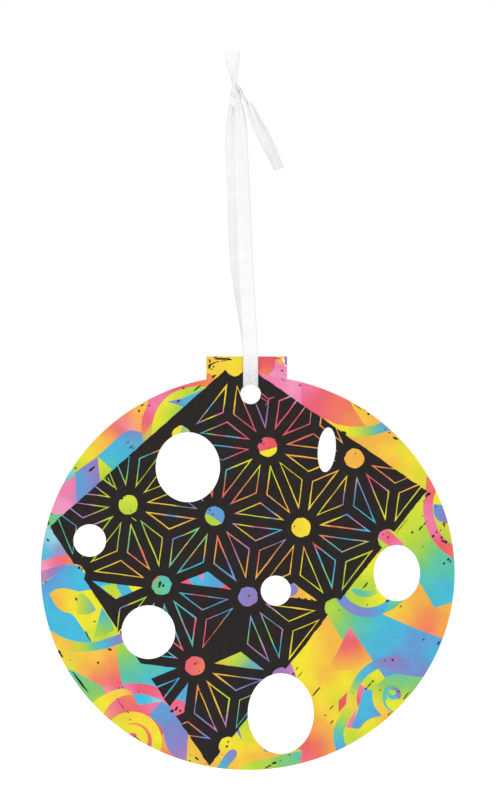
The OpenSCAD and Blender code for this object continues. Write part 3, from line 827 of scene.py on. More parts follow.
patch(curve([(-48.7, -5.2), (-48.7, -5.2), (-47.4, -4.2), (-45.4, -3.8), (-43.4, -4.1), (-41.4, -4.6),
             (-39.6, -4.3), (-37.6, -4.2), (-37.6, -4.2), (-34.9, -8.4), (-34.9, -8.4), (-33.1, -12),
             (-31.4, -15), (-31.4, -15), (-34.6, -16.3), (-38.3, -17), (-38.3, -17), (-40.6, -13.6),
             (-43, -10.3), (-45.2, -9.6), (-47.2, -8)]),
      (-48, -5.8, "orange"), (-46.6, -7, "orange"), (-45.4, -5, "amber"), (-43.4, -7, "yellow"),
      (-40, -5.4, "yellow"), (-41, -11.6, "yellow"), (-38, -10.4, "yellow"), (-38.6, -14.8, "spring"),
      (-35, -15.4, "lime"), (-32.4, -14.2, "spring"))
patch(curve([(-42.2, -6), (-40.6, -5), (-40.6, -5), (-38.8, -6.6), (-37.2, -9.2), (-37.2, -9.2),
             (-39.2, -10.2), (-41.8, -10.2), (-41.8, -10.2)]), (-42, -7.4, "yellow"),
      (-41.4, -8.8, "yellow"), (-40, -8, "lime"), (-38.4, -8.8, "blue"), (-39.4, -7, "green"),
      (-40.4, -9.6, "lime"))
patch(straight([(-35.8, -8.5), (-33.3, -12.2), (-32.8, -14.2), (-35.2, -15.2), (-37.8, -16),
                (-36.7, -11.6)]), (-35.6, -9.8, "sky"), (-34.6, -10.4, "teal"), (-35.6, -12, "teal"),
      (-34, -13, "green"), (-35.8, -14, "lime"), (-37, -15, "lime"))
patch(curve([(-50, -13.4), (-50, -13.4), (-46.6, -15.5), (-43.6, -16.6), (-41, -17), (-38.2, -17),
             (-35.6, -16.5), (-33, -15.6), (-30, -14.4), (-30, -14.4), (-29, -16.6), (-29, -16.6),
             (-32.6, -17.9), (-35.4, -18.8), (-38.4, -19.3), (-42, -19.4), (-46, -18.8), (-50, -18),
             (-50, -18)]), (-48, -15.6, "orange"), (-46, -17.4, "amber"), (-44, -17.6, "orange"),
      (-42, -18.2, "spring"), (-39.8, -18.2, "lime"), (-37.8, -18, "teal"), (-35.6, -17.6, "sky"),
      (-33.4, -17, "blue"), (-31.6, -16.2, "violet"), (-30.6, -15.8, "purple"))
patch(curve([(-50, -17.6), (-50, -17.6), (-44, -19.1), (-41, -19.4), (-38, -19.2), (-35.2, -18.7),
             (-32.2, -17.9), (-32.2, -17.9), (-31.8, -22), (-31.2, -25.6), (-30.4, -27.6), (-30.4, -27.6),
             (-32.6, -28.8), (-35.1, -29.9), (-35.1, -29.9), (-35.4, -28.2), (-35.4, -28.2), (-39, -26.1),
             (-43.4, -23.8), (-50, -22), (-50, -22)]), (-45.6, -20.4, "amber"), (-41.6, -20.8, "amber"),
      (-44, -22.4, "spring"), (-37, -20.2, "amber"), (-33.6, -19.4, "orange"), (-40, -23.4, "orange"),
      (-36, -23.4, "orange"), (-33, -23, "ember"), (-35, -25.4, "ember"), (-33, -25.4, "coral"),
      (-33.4, -27, "crimson"), (-31.6, -27.2, "crimson"), (-34.6, -28.8, "rose"), (-36.8, -26.4, "coral"))
patch(straight([(-32.2, -18), (-28, -16), (-22, -20), (-16, -22.8), (-22.4, -27.5), (-30.6, -27.6),
                (-31.4, -25), (-31.9, -21.6)]), (-31.2, -18.8, "lime"), (-30.8, -21.6, "green"),
      (-28.6, -22, "green"), (-29.8, -25.4, "teal"), (-26.4, -23.4, "teal"), (-22.4, -22.8, "teal"),
      (-19.4, -22.8, "sky"), (-24.4, -26.6, "sky"), (-27.6, -26.4, "teal"))
patch(straight([(-46, -24), (-43.4, -23.9), (-39, -26.2), (-35.4, -28.3), (-35.2, -30), (-37, -32.4),
                (-40, -34), (-48, -26)]), (-43, -25, "teal"), (-41, -27, "green"), (-38, -27.6, "green"),
      (-37, -30.6, "lime"), (-39, -30, "green"), (-36, -29.4, "green"))

# Lower left rings.
patch(curve([(-35.6, -34), (-35.6, -34), (-30.6, -27.7), (-26.6, -27.2), (-23, -27.8), (-20.6, -29.4),
             (-19, -32), (-19, -32), (-22, -33), (-22, -33), (-28, -31)]),
      (-29.6, -28.6, "pink"), (-26.4, -28.4, "crimson"), (-23.4, -29, "crimson"), (-21, -30.6, "pink"))
patch(curve([(-40, -34), (-40, -34), (-37.2, -31.2), (-35.2, -29.9), (-32.8, -28.9), (-30.4, -28.5),
             (-28.6, -29.2), (-28.6, -29.2), (-28.2, -30.6), (-28.2, -30.6), (-31, -31), (-34, -34),
             (-34.6, -37), (-34.6, -37)]),
      (-37, -33.2, "spring"), (-35.4, -32.2, "yellow"), (-33.6, -30.8, "amber"), (-31.2, -29.4, "amber"),
      (-29, -29.6, "orange"), (-35.4, -34.8, "yellow"))
patch(curve([(-36, -36), (-36, -36), (-34.4, -33), (-32.2, -31), (-30, -30.1), (-28.2, -30), (-28.2, -30),
             (-26.8, -32.5), (-26.8, -32.5), (-24, -32.1), (-20.4, -31.4), (-20.4, -31.4), (-23.4, -35.4),
             (-23.4, -35.4), (-26, -36), (-30, -37), (-34, -40)]),
      (-34.6, -34.6, "orange"), (-33.4, -33.4, "pink"), (-32, -32.6, "pink"), (-31, -31.8, "crimson"),
      (-29.4, -31, "ember"), (-28.4, -32, "coral"), (-30, -33.2, "red"), (-33, -36, "ember"),
      (-27, -33.4, "crimson"), (-24.6, -32.8, "pink"), (-23.4, -33.6, "pink"), (-25.4, -34.4, "crimson"))
patch(curve([(-28.4, -30), (-28.4, -30), (-26.6, -29.7), (-24, -30.2), (-20.4, -31.6), (-20.4, -31.6),
             (-24, -32), (-26.8, -32.5), (-26.8, -32.5)]), (-27, -30.8, "sky"), (-25, -31.4, "sky"),
      (-22.4, -31.4, "pale"))
patch(straight([(-16, -34), (-14, -40), (-9, -46), (-9, -49), (-24, -49), (-23, -42)]),
      (-14, -41.4, "orange"), (-13.4, -44, "amber"), (-11.4, -46, "orange"), (-14.4, -46.4, "spring"),
      (-20.6, -42.6, "orange"), (-19, -44.4, "coral"), (-21, -44, "ember"))
patch(curve([(-21.2, -31.6), (-21.2, -31.6), (-17.4, -34.6), (-14.8, -38.4), (-14.9, -43), (-15.1, -48),
             (-15.1, -48), (-18.8, -44.4), (-20.2, -41.8), (-21.2, -38), (-24.2, -34.8), (-24.2, -34.8)]),
      (-21.8, -33.4, "blue"), (-20, -35.4, "blue"), (-18.4, -38, "violet"), (-19.4, -40.4, "violet"),
      (-17.4, -42, "violet"), (-16.4, -39, "violet"), (-16.2, -44.4, "purple"), (-15.6, -46, "mauve"))
patch(ellipse(-28.4, -41.4, 7.3, 7.3), (-33, -37.4, "spring"), (-30, -36, "amber"), (-27, -35, "amber"),
      (-23.6, -37.4, "amber"), (-22.2, -40.4, "yellow"), (-22.4, -43, "spring"), (-26, -39, "yellow"),
      (-29, -38.4, "yellow"), (-25.6, -41.6, "amber"), (-30.4, -38.6, "spring"))
patch(arc_band(-28.2, -41.2, (4.0, 3.6), (4.3, 4.8), 106, -30), (-29, -37, "ember"), (-26, -37.8, "ember"),
      (-24, -40.4, "coral"), (-24.4, -43, "crimson"))
patch(ellipse(-28.2, -39.9, 1.0, 0.6), (-28.4, -39.9, "crimson"), (-27.6, -40, "pink"))

# Foot.
patch(straight([(-9.6, -49), (-9, -47.4), (-8.4, -43), (-7.6, -39.6), (-3, -39), (0, -34.6), (4, -34.6),
                (4, -44), (14, -43.4), (14, -50)]), (-8.2, -47.2, "orange"), (-6.4, -44.8, "amber"),
      (-5.4, -42, "yellow"), (-2.4, -42, "yellow"), (-0.2, -37.4, "lime"), (0.2, -39.8, "spring"),
      (-2.6, -46, "amber"), (1, -43, "yellow"), (0.8, -44.8, "orange"), (3.6, -44.6, "orange"),
      (6, -45.2, "orange"), (-4.6, -46.4, "orange"), (9, -44.4, "amber"))
patch(straight([(-2.8, -39), (-2.2, -38.2), (-1.3, -41.2)]), (-2.4, -39, "violet"), (-1.6, -40.6, "purple"))
patch(straight([(-3, -50), (-1, -46.8), (3, -45.9), (7, -45.1), (10, -44.4), (13.4, -43.6), (12.6, -47.2),
                (8, -50)]), (-1.6, -47.6, "spring"), (2, -47, "lime"), (5, -46.4, "lime"),
      (8.6, -45.8, "green"), (12.2, -45, "teal"), (11, -46.4, "green"))
patch(curve([(-7.9, -48.6), (-7.9, -48.6), (-6.8, -46.6), (-5.6, -44.8), (-4.4, -43.6), (-3.2, -43.4),
             (-2.6, -44.2), (-3, -45.4), (-4.4, -47), (-5.6, -49), (-5.6, -49)]), (-6.6, -47.2, "sky"),
      (-6.4, -48, "teal"), (-5.2, -46, "blue"), (-4, -44.8, "violet"), (-3.4, -44.2, "purple"))
patch(curve([(4, -22.4), (7, -22), (9.6, -22), (9.6, -22), (10.8, -22.1), (10.8, -22.1), (12.2, -25.8),
             (12.2, -25.8), (8, -27), (4, -26)]),
      (6.6, -24, "purple"), (9, -24.2, "purple"), (10.4, -23.4, "mauve"), (11.4, -25, "mauve"))

# Lower right.
patch(straight([(10.6, -22.2), (8, -19), (19.6, -9.6), (26, -13), (31, -21), (29, -30), (24, -46),
                (12.4, -48), (13.4, -43.8), (8, -40), (9, -28), (12, -25.6)]), (19, -12.6, "orange"),
      (16.8, -15.4, "amber"), (14, -18.6, "yellow"), (12.8, -22, "yellow"), (14, -25.6, "yellow"),
      (17.8, -20, "amber"), (20.6, -18, "orange"), (20.6, -22.4, "orange"), (19.4, -25.4, "orange"),
      (22.8, -27.6, "yellow"), (18.4, -30, "yellow"), (16.8, -28.4, "amber"), (22, -31, "spring"),
      (19, -33.6, "amber"), (22, -36, "yellow"), (17.6, -37, "orange"), (20.4, -39, "orange"),
      (16.6, -40, "ember"), (15, -42.4, "red"), (18, -42.4, "coral"), (14, -45, "crimson"),
      (17, -45, "coral"), (13, -46.4, "pink"), (20.6, -43, "orange"), (26, -22.4, "orange"),
      (29, -21.4, "amber"), (24.6, -25, "yellow"))
patch(straight([(18, -8), (21, -5.4), (25, -9.4), (33.2, -10.1), (40, -13.2), (54, -18.2), (45, -31),
                (38, -27), (33.5, -25.8), (32.1, -23.7), (30.5, -21.4), (25, -13.2), (23.3, -16.6),
                (19.8, -11)]), (20.4, -8.4, "lime"), (21.4, -11, "lime"), (23, -14.4, "green"),
      (24.6, -11, "green"), (27, -11.6, "teal"), (29, -13.4, "teal"), (32, -13, "sky"),
      (36.4, -13, "sky"), (31, -17, "sky"), (33.6, -19.4, "sky"), (36.4, -16.6, "sky"),
      (39.6, -17, "blue"), (43.6, -17, "blue"), (45.6, -20, "sky"), (38.4, -20.4, "blue"),
      (36.6, -21.4, "purple"), (41.6, -22.4, "blue"), (43, -24, "violet"), (39.6, -25.4, "purple"),
      (36, -24.6, "blue"), (34.4, -23, "blue"))
patch(straight([(25, -13.2), (30.6, -21.4), (26, -24), (20, -23.6)]), (25, -14.4, "pink"),
      (24.8, -16.6, "crimson"), (26.4, -17.4, "red"), (23.6, -18.2, "crimson"), (27.4, -19, "ember"),
      (24.6, -20, "coral"), (22, -21.4, "ember"), (28.8, -20.8, "orange"), (25.6, -22.2, "orange"),
      (21.4, -22.6, "orange"), (20.2, -23.8, "amber"), (22.4, -24.2, "orange"), (24.8, -24.4, "amber"),
      (27.2, -23.4, "amber"))
patch(arc_band(29.5, -1.8, 6.7, 9.1, -158, -30), (22.6, -6.6, "blue"), (23.8, -8.4, "violet"),
      (26.4, -9.4, "violet"), (29.4, -9.8, "violet"), (31.4, -9.4, "blue"), (33, -8.8, "sky"),
      (35, -7.4, "sky"), (36, -6, "teal"))
patch(straight([(33.2, -10.1), (35.4, -9), (38.4, -7.4), (37, -6), (35, -7)]), (35, -8.6, "teal"),
      (37, -7.4, "green"))
patch(ellipse(29.5, -1.8, 6.75, 6.75), (25, -5.6, "lime"), (27, -7.4, "lime"), (30, -7.6, "spring"),
      (33, -6.6, "yellow"), (24.4, -4.4, "lime"), (34.6, -5.4, "yellow"))
patch(arc_band(29, -1.4, 3.0, 4.6, -170, -50), (26, -4.4, "teal"), (28, -5.4, "teal"),
      (30.4, -5.4, "green"), (32, -4.4, "spring"))
patch(straight([(24, -5), (26, -3.8), (29, -4.4), (32, -3.2), (32, 6), (28, 2)]), (29.8, 1.4, "yellow"),
      (28.6, -0.6, "spring"), (28.4, -3, "lime"), (30.6, -2.4, "lime"), (31, 3, "yellow"))
patch(straight([(33.1, -10.2), (35.6, -9), (38, -7.2), (42, -2.2), (45.9, -8.6), (54, -6), (54, -17.6),
                (47.8, -16.2), (40, -13.2)]),
      (34.6, -10, "amber"), (38, -8.6, "amber"), (41.4, -5, "orange"), (39.4, -10.6, "orange"),
      (42.4, -11.6, "ember"), (44.6, -9.6, "ember"), (44.4, -13.4, "coral"), (46, -12, "ember"),
      (48.6, -9, "orange"), (48, -13.6, "orange"), (43.4, -7, "orange"))
patch(curve([(44.4, -27.6), (44.4, -27.6), (42.4, -24.4), (40.2, -22.2), (37.4, -20.8), (34.6, -20.5),
             (31.6, -21.3), (29, -22.8), (26.8, -25.1), (25.4, -27.8), (24.6, -30.2), (24.3, -32),
             (23, -34.4), (21.6, -37), (21, -39.6), (21.2, -42), (22, -44.6), (22, -44.6), (24.8, -44),
             (24.8, -44), (23.8, -41.4), (23.5, -39.4), (24, -37.8), (25.2, -35.6), (26.3, -33.6),
             (26.8, -31), (27.1, -29), (28.1, -26.8), (29.8, -24.9), (32, -23.6), (32, -23.6),
             (34.6, -23.8), (37.4, -24.6), (39.6, -26), (41.4, -28.4), (41.4, -28.4)]),
      (43, -25.6, "violet"), (41.6, -24, "blue"), (40.2, -25, "violet"), (39.4, -23.4, "blue"),
      (38.2, -22, "violet"), (36.4, -21.4, "purple"), (35, -21.2, "purple"), (36, -23.2, "violet"),
      (33.4, -22, "violet"), (31, -22.8, "blue"), (29.2, -24, "sky"), (27.6, -25.6, "sky"),
      (26.4, -27.6, "green"), (26, -29.2, "spring"), (25.6, -31, "amber"), (25.2, -32.8, "amber"),
      (23.6, -34.4, "spring"), (23.4, -36, "lime"), (22.6, -37.4, "green"), (22.2, -39.2, "teal"),
      (22.2, -41, "sky"), (22.8, -43, "blue"))
patch(curve([(24.8, -44), (24.8, -44), (23.8, -41.4), (23.5, -39.4), (24, -38), (24, -38), (27.3, -38.3),
             (28.8, -36.7), (30.6, -35.6), (33, -35), (37.4, -34), (37.4, -34), (38, -38), (38, -38)]),
      (24.6, -39.8, "spring"), (26, -40.6, "lime"), (27.6, -39.6, "spring"), (28.6, -38, "yellow"),
      (31, -36.6, "yellow"), (33.6, -35.6, "orange"), (35.6, -34.6, "orange"), (30.4, -38, "spring"))
patch(straight([(29.6, -29.2), (31.2, -28), (33.6, -25.8), (36, -24.8), (46, -26), (44, -33), (37, -35),
                (32.8, -35), (31.2, -33), (30.4, -31)]), (35.4, -25.8, "teal"), (38, -26.4, "teal"),
      (41, -27.6, "green"), (33.4, -27.2, "green"), (36, -27.4, "lime"), (39.6, -28.8, "lime"),
      (31.6, -29.4, "spring"), (31.6, -31.6, "amber"), (32.8, -33.6, "amber"), (34.6, -34.4, "orange"),
      (34.4, -33.4, "amber"), (33, -30, "lime"), (40, -30, "teal"))
patch(ellipse(36.7, -30.9, 3.4, 3.3), (34.8, -31.6, "spring"), (36, -33, "yellow"),
      (38.6, -32.4, "yellow"), (36.4, -31.8, "yellow"), (39.4, -30.2, "lime"), (34, -30, "lime"),
      (38.2, -28.4, "green"), (36.4, -27.8, "green"))
patch(arc_band(36.7, -30.9, (2.9, 3.2), (3.6, 3.5), 170, 255), (33.6, -31.6, "teal"), (35.6, -33.8, "teal"))
patch(arc_band(35.7, -29.9, (1.7, 1.2), (2.6, 2.5), 215, 70), (33.6, -30.4, "teal"), (34.2, -28.6, "teal"),
      (36, -27.6, "green"))
patch(arc_band(35.5, -29.5, (0.5, 0.6), (1.2, 1.9), 165, 325), (34.4, -29.6, "green"), (35.4, -30.8, "sky"),
      (36.8, -30.4, "sky"))
patch(arc_band(35.6, -29.7, (1.1, 0.7), (1.5, 2.2), 115, -40), (35, -28.4, "teal"), (35.8, -28.2, "violet"),
      (37, -28.8, "purple"), (37.4, -30.4, "violet"))
patch(curve([(28.1, -26.9), (28.1, -26.9), (29.8, -25), (32.1, -23.6), (32.1, -23.6), (33.7, -25.9),
             (33.7, -25.9), (31.2, -27.8), (29.9, -29.1), (29.9, -29.1)]), (29.4, -26.8, "spring"),
      (31.6, -25, "yellow"), (30.4, -27.6, "lime"), (32.6, -25.8, "spring"))
patch(curve([(28.7, -28.2), (28.7, -28.2), (29.9, -28.9), (30.5, -28.6), (30.5, -28.6), (30.6, -31),
             (31.3, -33.2), (32.9, -35.1), (32.9, -35.1), (30.5, -35.7), (28.7, -36.7), (27.3, -38.3),
             (27.3, -38.3), (25.2, -38.1), (25.2, -38.1), (26.5, -35.2), (27.4, -32.4), (28, -30)]),
      (29.4, -29.8, "sky"), (29, -32, "sky"), (28.6, -34.4, "sky"), (26.6, -37.4, "blue"),
      (31.6, -34.6, "blue"))
patch(curve([(27.4, -27.3), (27.4, -27.3), (28.8, -28.1), (28.8, -28.1), (28.1, -30.2), (27.3, -32.6),
             (27, -33), (27, -33), (26.7, -31), (27, -28.8)]), (27.8, -28.6, "pink"),
      (27.2, -31.6, "crimson"))
patch(curve([(26.6, -33.6), (26.6, -33.6), (25.2, -35.8), (24.1, -37.9), (24.1, -37.9), (25.3, -38.2),
             (25.3, -38.2), (26.2, -35.9)]), (25.6, -35.8, "pink"), (24.8, -37.6, "pink"))
patch(straight([(24.4, -29.3), (24.1, -32.3), (22.3, -34.3), (22.3, -31.4)]), (23.4, -32, "red"),
      (23.8, -30.4, "crimson"))

# Right side.
patch(straight([(34, 4), (36, 12), (46, 22), (54, 20), (54, -6.6), (50.2, -7.3), (45.9, -8.6), (42, -2.2),
                (40, -1)]), (43, 17.4, "spring"), (41, 13.4, "spring"), (38.6, 11, "spring"),
      (40.4, 8.6, "lime"), (43, 10, "lime"), (42.6, 5.4, "lime"), (44.8, 5, "green"),
      (43.6, 2.6, "green"), (46.4, 3.4, "teal"), (46.6, 0.4, "teal"), (43.6, -1, "teal"), (49, 1, "teal"),
      (46.2, -3.6, "sky"), (49, -4, "sky"), (46, -7, "sky"), (44.4, -4, "teal"), (36.8, 9.2, "spring"))
patch(straight([(45.4, 21), (46.4, 20.4), (54, 20), (54, 7), (50.2, 7), (47, 9.6), (45.6, 13)]),
      (46.4, 18.6, "yellow"), (49.4, 11.4, "amber"), (48.6, 9.6, "lime"), (47.2, 10.8, "lime"),
      (47, 18, "yellow"))
patch(curve([(45.6, 16.9), (45.6, 16.9), (48, 16.6), (50, 16), (50, 16), (49.6, 12), (49.6, 12), (48, 12.4),
             (46.8, 12.8), (45.7, 14.4)]), (46.6, 16.2, "blue"), (47.2, 15, "violet"), (48, 13.4, "purple"),
      (46.4, 14.4, "blue"))
patch(curve([(43.4, 24), (43.4, 24), (43.7, 19.6), (43.1, 17), (43.2, 14), (44, 10.8), (45.6, 7.8),
             (48, 5.2), (52, 2.6), (52, 2.6), (52, 6.6), (52, 6.6), (49.4, 7.4), (47.2, 9.8), (46, 12.6),
             (45.5, 15), (45.6, 18), (46.8, 22), (46.8, 22)]), (45, 20.6, "coral"),
      (44.4, 18.6, "crimson"), (44.3, 16, "pink"), (44.6, 12.8, "pink"), (45.6, 10, "pink"),
      (47, 8, "crimson"), (48.4, 6.6, "red"), (50, 5, "coral"))

# Upper right.
patch(straight([(2, 49.4), (9.6, 46.9), (16, 48), (16, 38), (9, 43), (4.4, 46.8)]), (6, 46.4, "pink"),
      (8.4, 45.6, "pink"), (10.4, 46.4, "rose"), (11.2, 44.6, "rose"), (12.8, 43.4, "pink"),
      (13.6, 41, "pink"), (10.4, 44, "rose"))
patch(straight([(13, 39.8), (20, 37.6), (25, 33.2), (19, 35.6)]), (16.6, 38.4, "orange"),
      (19.6, 36.8, "orange"))
patch(straight([(23, 44), (31, 41), (36, 36.6), (28, 35.6)]), (25.8, 41.4, "amber"), (28, 39, "amber"),
      (31, 37.6, "orange"), (27.4, 38.6, "orange"))
patch(curve([(13, 48), (13, 48), (24.6, 43.4), (24.6, 43.4), (26, 40.4), (29, 35.8), (29, 35.8),
             (26, 35.8), (22.6, 36.4), (19.4, 37.6), (14.6, 39.6), (14.6, 39.6), (13.2, 42)]),
      (13.4, 46.6, "pink"), (13.6, 43.6, "pink"), (15, 42, "crimson"), (16.6, 41.6, "crimson"),
      (17.6, 44.4, "crimson"), (20.4, 42, "coral"), (22.6, 39.4, "coral"), (23.4, 42.4, "coral"),
      (25, 38.4, "ember"), (27.4, 36.4, "ember"), (16, 45.6, "pink"))
patch(straight([(20, 36.4), (25, 33.5), (30, 33.6), (35.4, 35), (47, 30), (43.9, 23.6), (43.6, 20),
                (24, 33.2)]), (27, 32.4, "orange"), (31, 32.6, "orange"), (34.6, 33.4, "orange"),
      (33, 30, "amber"), (35.6, 31, "amber"), (30.6, 31, "orange"), (37.6, 30.6, "spring"),
      (40, 28, "yellow"), (38, 26, "amber"), (35, 27.4, "orange"), (42, 24.4, "spring"),
      (41.4, 22.6, "amber"), (43.8, 21.6, "spring"))
patch(curve([(19.2, 37.6), (19.2, 37.6), (22, 36.4), (25.4, 35.9), (28.4, 35.9), (31, 36.2), (34, 37.4),
             (34, 37.4), (37, 35.6), (37, 35.6), (34.6, 34.9), (31.4, 33.9), (28, 33.4), (25, 33.5),
             (22.6, 34.4), (22.6, 34.4)]), (21.6, 36, "amber"), (24.4, 35, "yellow"),
      (27, 34.8, "spring"), (28.8, 34.8, "lime"), (30.2, 35, "green"), (31.6, 35.2, "sky"),
      (33.4, 35.8, "blue"))

# Inks that show in the scratched dots and the cleared petals.
patch(straight([(1.4, 34), (1.4, 27), (8.4, 27), (8.4, 34)]), (4, 32, "crimson"), (6, 31.6, "red"))
patch(straight([(1.6, 29.4), (4.8, 30.2), (8.4, 31.2), (8.4, 27), (1.6, 27)]), (5, 29, "yellow"))
patch(ellipse(26.15, 28.09, 3, 3), (26, 28, "orange"), (27, 29, "orange"))
patch(ellipse(13.1, 11.1, 3.2, 3.2), (13, 11, "amber"), (14.4, 10, "yellow"))
patch(ellipse(-29.3, 16.7, 3, 3), (-29, 16, "lime"), (-30, 18, "spring"))
patch(ellipse(-8.1, 13.9, 3, 3), (-9.4, 12.4, "lime"))
patch(straight([(-12, 15.4), (-8.4, 13.6), (-4.8, 10.8), (-4, 18), (-12, 18)]), (-8, 15, "blue"),
      (-6.6, 13, "blue"))
patch(ellipse(-16.3, 33.7, 3, 3), (-17, 35, "amber"), (-18, 34, "yellow"))
patch(straight([(-17, 32), (-16.4, 35), (-15.6, 37), (-12, 36), (-13, 32)]), (-15.4, 35.6, "teal"),
      (-14.4, 35.2, "amber"))
patch(ellipse(-21.1, -3.1, 3, 3), (-20.6, -3.6, "teal"), (-22, -4.4, "green"), (-19.4, -2, "teal"))
patch(straight([(-25, -3.4), (-23.2, -2.4), (-21.6, -0.8), (-22, 1), (-25, 0)]), (-23, -1.6, "coral"))
patch(ellipse(0.1, -5.9, 3, 3), (0, -5, "violet"), (1.4, -6.6, "purple"))
patch(ellipse(-12.9, -22.8, 3, 3), (-14.4, -22, "crimson"), (-13.4, -24, "crimson"), (-11.6, -24, "ember"),
      (-11.4, -21.6, "coral"))
patch(straight([(-40, -0.6), (-25, -2), (-25, -4), (-33, -7)]), (-37, -2, "sky"), (-34, -3, "sky"),
      (-32, -5, "sky"))
patch(straight([(-36, -3.2), (-33.6, -2.9), (-34, -1.6), (-32.2, -1.4), (-32.2, -3.4), (-31, -5.4),
                (-33, -7)]), (-34, -4, "lime"), (-32.6, -5, "spring"), (-33, -2.2, "lime"))
patch(straight([(-30.4, -1.6), (-24.6, -2.2), (-25, -4), (-28.4, -4.6)]), (-28, -3, "yellow"))
patch(straight([(-18.6, -1.6), (-9.7, 1.8), (-3, -4), (-3.4, -5.2)]), (-13, -1, "sky"), (-8, -2, "blue"),
      (-10, -1, "sky"))
patch(straight([(-18.6, -1.2), (-15, 0), (-14.2, -2.2), (-12.8, -3.6), (-18.6, -3.4)]),
      (-16, -2.2, "crimson"))
patch(straight([(-12.6, 1.2), (-10.4, 1.8), (-11.2, -2.4)]), (-11.4, 0, "pink"))
patch(straight([(-8.6, -4.6), (-5.2, -2.8), (-2.6, -4.4), (-3.4, -6)]), (-5, -4, "crimson"))
patch(straight([(9, -1), (18.4, -6.4), (18, -8.4), (9, -6.6)]), (12.6, -4, "orange"), (16, -6.4, "amber"),
      (13.4, -6, "orange"))
patch(curve([(9.6, -2.2), (11, -2.6), (12.4, -3.8), (11.9, -5.2), (10.6, -5.8), (9, -5)]),
      (11, -3.2, "blue"), (11.4, -4.8, "purple"))
patch(straight([(-10, -21.6), (-1.6, -18.2), (5, -24.4), (-2, -24)]), (-7.4, -21.6, "orange"),
      (-5.6, -20.8, "spring"), (-3, -21.4, "lime"), (-2.6, -20, "yellow"), (-1, -22.4, "green"),
      (0.6, -22.6, "blue"), (3, -23.4, "blue"), (-1.4, -20.4, "lime"))
patch(straight([(-14.6, -26), (-14.8, -35), (-19.2, -32.8)]), (-15.8, -29, "blue"), (-16.6, -31, "sky"))
patch(straight([(-20.3, -31), (-18.6, -30.4), (-17.6, -31.4), (-16.6, -31), (-14.4, -32.6), (-14.6, -36),
                (-17.2, -35.8)]), (-17, -33, "pink"), (-16, -33.6, "crimson"), (-18, -32, "crimson"))
patch(arc_band(34.3, 8.3, 0, 3.2, 0, 355), (33, 10.6, "lime"), (33, 7, "lime"), (35.4, 10.6, "spring"))
patch(straight([(30.8, 11), (33.6, 11.4), (38.4, 7), (36, 5.6), (31.6, 8.8)]), (32.6, 10, "pink"),
      (34.6, 8.6, "crimson"), (36.4, 7, "pink"))


def inked(points, owner):
    """Each corner's colour: in its patch, the mean of the inks, weighted by one over the distance to a
    power. The power is low for inks that melt together and high for ones that meet sharply."""
    colour = np.zeros((len(points), 3))
    for n, (_, inks, (power, soft)) in enumerate(PATCHES):
        mine = owner == n
        if mine.any():
            at = np.array([ink[:2] for ink in inks], float)
            tone = np.array([INKS[ink[2]] for ink in inks], float)
            away = np.linalg.norm(points[mine][:, None] - at[None], axis=2)
            weight = (away ** 2 + soft ** 2) ** (-power / 2)
            colour[mine] = (weight[..., None] * tone[None]).sum(1) / weight.sum(1, keepdims=True)
    return np.column_stack([linear_share(colour / 255), np.ones(len(points))])


INK_RELIEF = 0.01 * MM
SCREEN_SLANT = -52


def printed_ink():
    """Printed paper: the ink's own colour, faintly cloudy, with a fine slanting screen in the cool inks and
    a few dark specks."""
    made, tree, shader = material("rainbow_ink", 0.45, 0.3)
    ink = tree.nodes.new("ShaderNodeVertexColor")
    ink.layer_name = "ink"
    look = grained(tree, 260.0, 2600.0)
    place = tree.nodes.new("ShaderNodeTexCoord").outputs["Object"]
    slant = add(tree, "ShaderNodeMapping", Vector=place, Rotation=(0, math.radians(SCREEN_SLANT), 0))
    screen = add(tree, "ShaderNodeTexWave", Vector=slant.outputs["Vector"], Scale=560.0, Distortion=2.4,
                 Detail=2.0)
    screen.inputs["Detail Scale"].default_value = 2.0
    parts = add(tree, "ShaderNodeSeparateColor", Color=ink.outputs["Color"])
    cool = add(tree, "ShaderNodeMath", i0=parts.outputs["Blue"], i1=parts.outputs["Red"])
    cool.operation = "SUBTRACT"
    cool.use_clamp = True
    cloud = ramped(tree, look.outputs["Cloud"], (0.35, 0.65), (0.95, 1.04))
    lines = ramped(tree, screen.outputs["Fac"], to=(-0.16, 0.09))
    level = reckoned(tree, "ADD", cloud, reckoned(tree, "MULTIPLY", lines, cool.outputs[0]))
    toned = scaled(tree, ink.outputs["Color"], level)
    speck = add(tree, "ShaderNodeTexNoise", Vector=place, Scale=900.0, Detail=1.0)
    dark = ramped(tree, speck.outputs["Fac"], (0.755, 0.80))
    tree.links.new(blended(tree, dark, toned, linear(90, 76, 60)), shader.inputs["Base Color"])
    surfaced(tree, shader, look.outputs["Fibre"], 0.38, 0.54, look.outputs["Tooth"], INK_RELIEF, 0.4)
    return made


def card_piece(name, points, triangles, front, finish, slot):
    """A layer of the card as an object riding on the card, and its faces' source triangles."""
    corners, faces, source = slab(points, triangles, front, SKIN_T)
    made = put(name, corners, faces, finish, slot)
    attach(made, "card")
    return made, corners, faces, source


outline = card_outline()
holes = [ellipse(*size) for size in HOLES.values()]
# Loose points all over the sheet, set off from its outlines, let the inks melt smoothly.
FIELD_REACH = 56
FIELD_STEP = 1.5
FIELD_OFF = [0.37, 0.41]
step = np.arange(-FIELD_REACH, FIELD_REACH + 1, FIELD_STEP)
field = np.stack(np.meshgrid(step, step), axis=-1).reshape(-1, 2) + FIELD_OFF
points, triangles, inside = divide([outline] + holes + [p[0] for p in PATCHES[1:]], field)
kept = inside[0] & ~inside[1:1 + len(holes)].any(0)
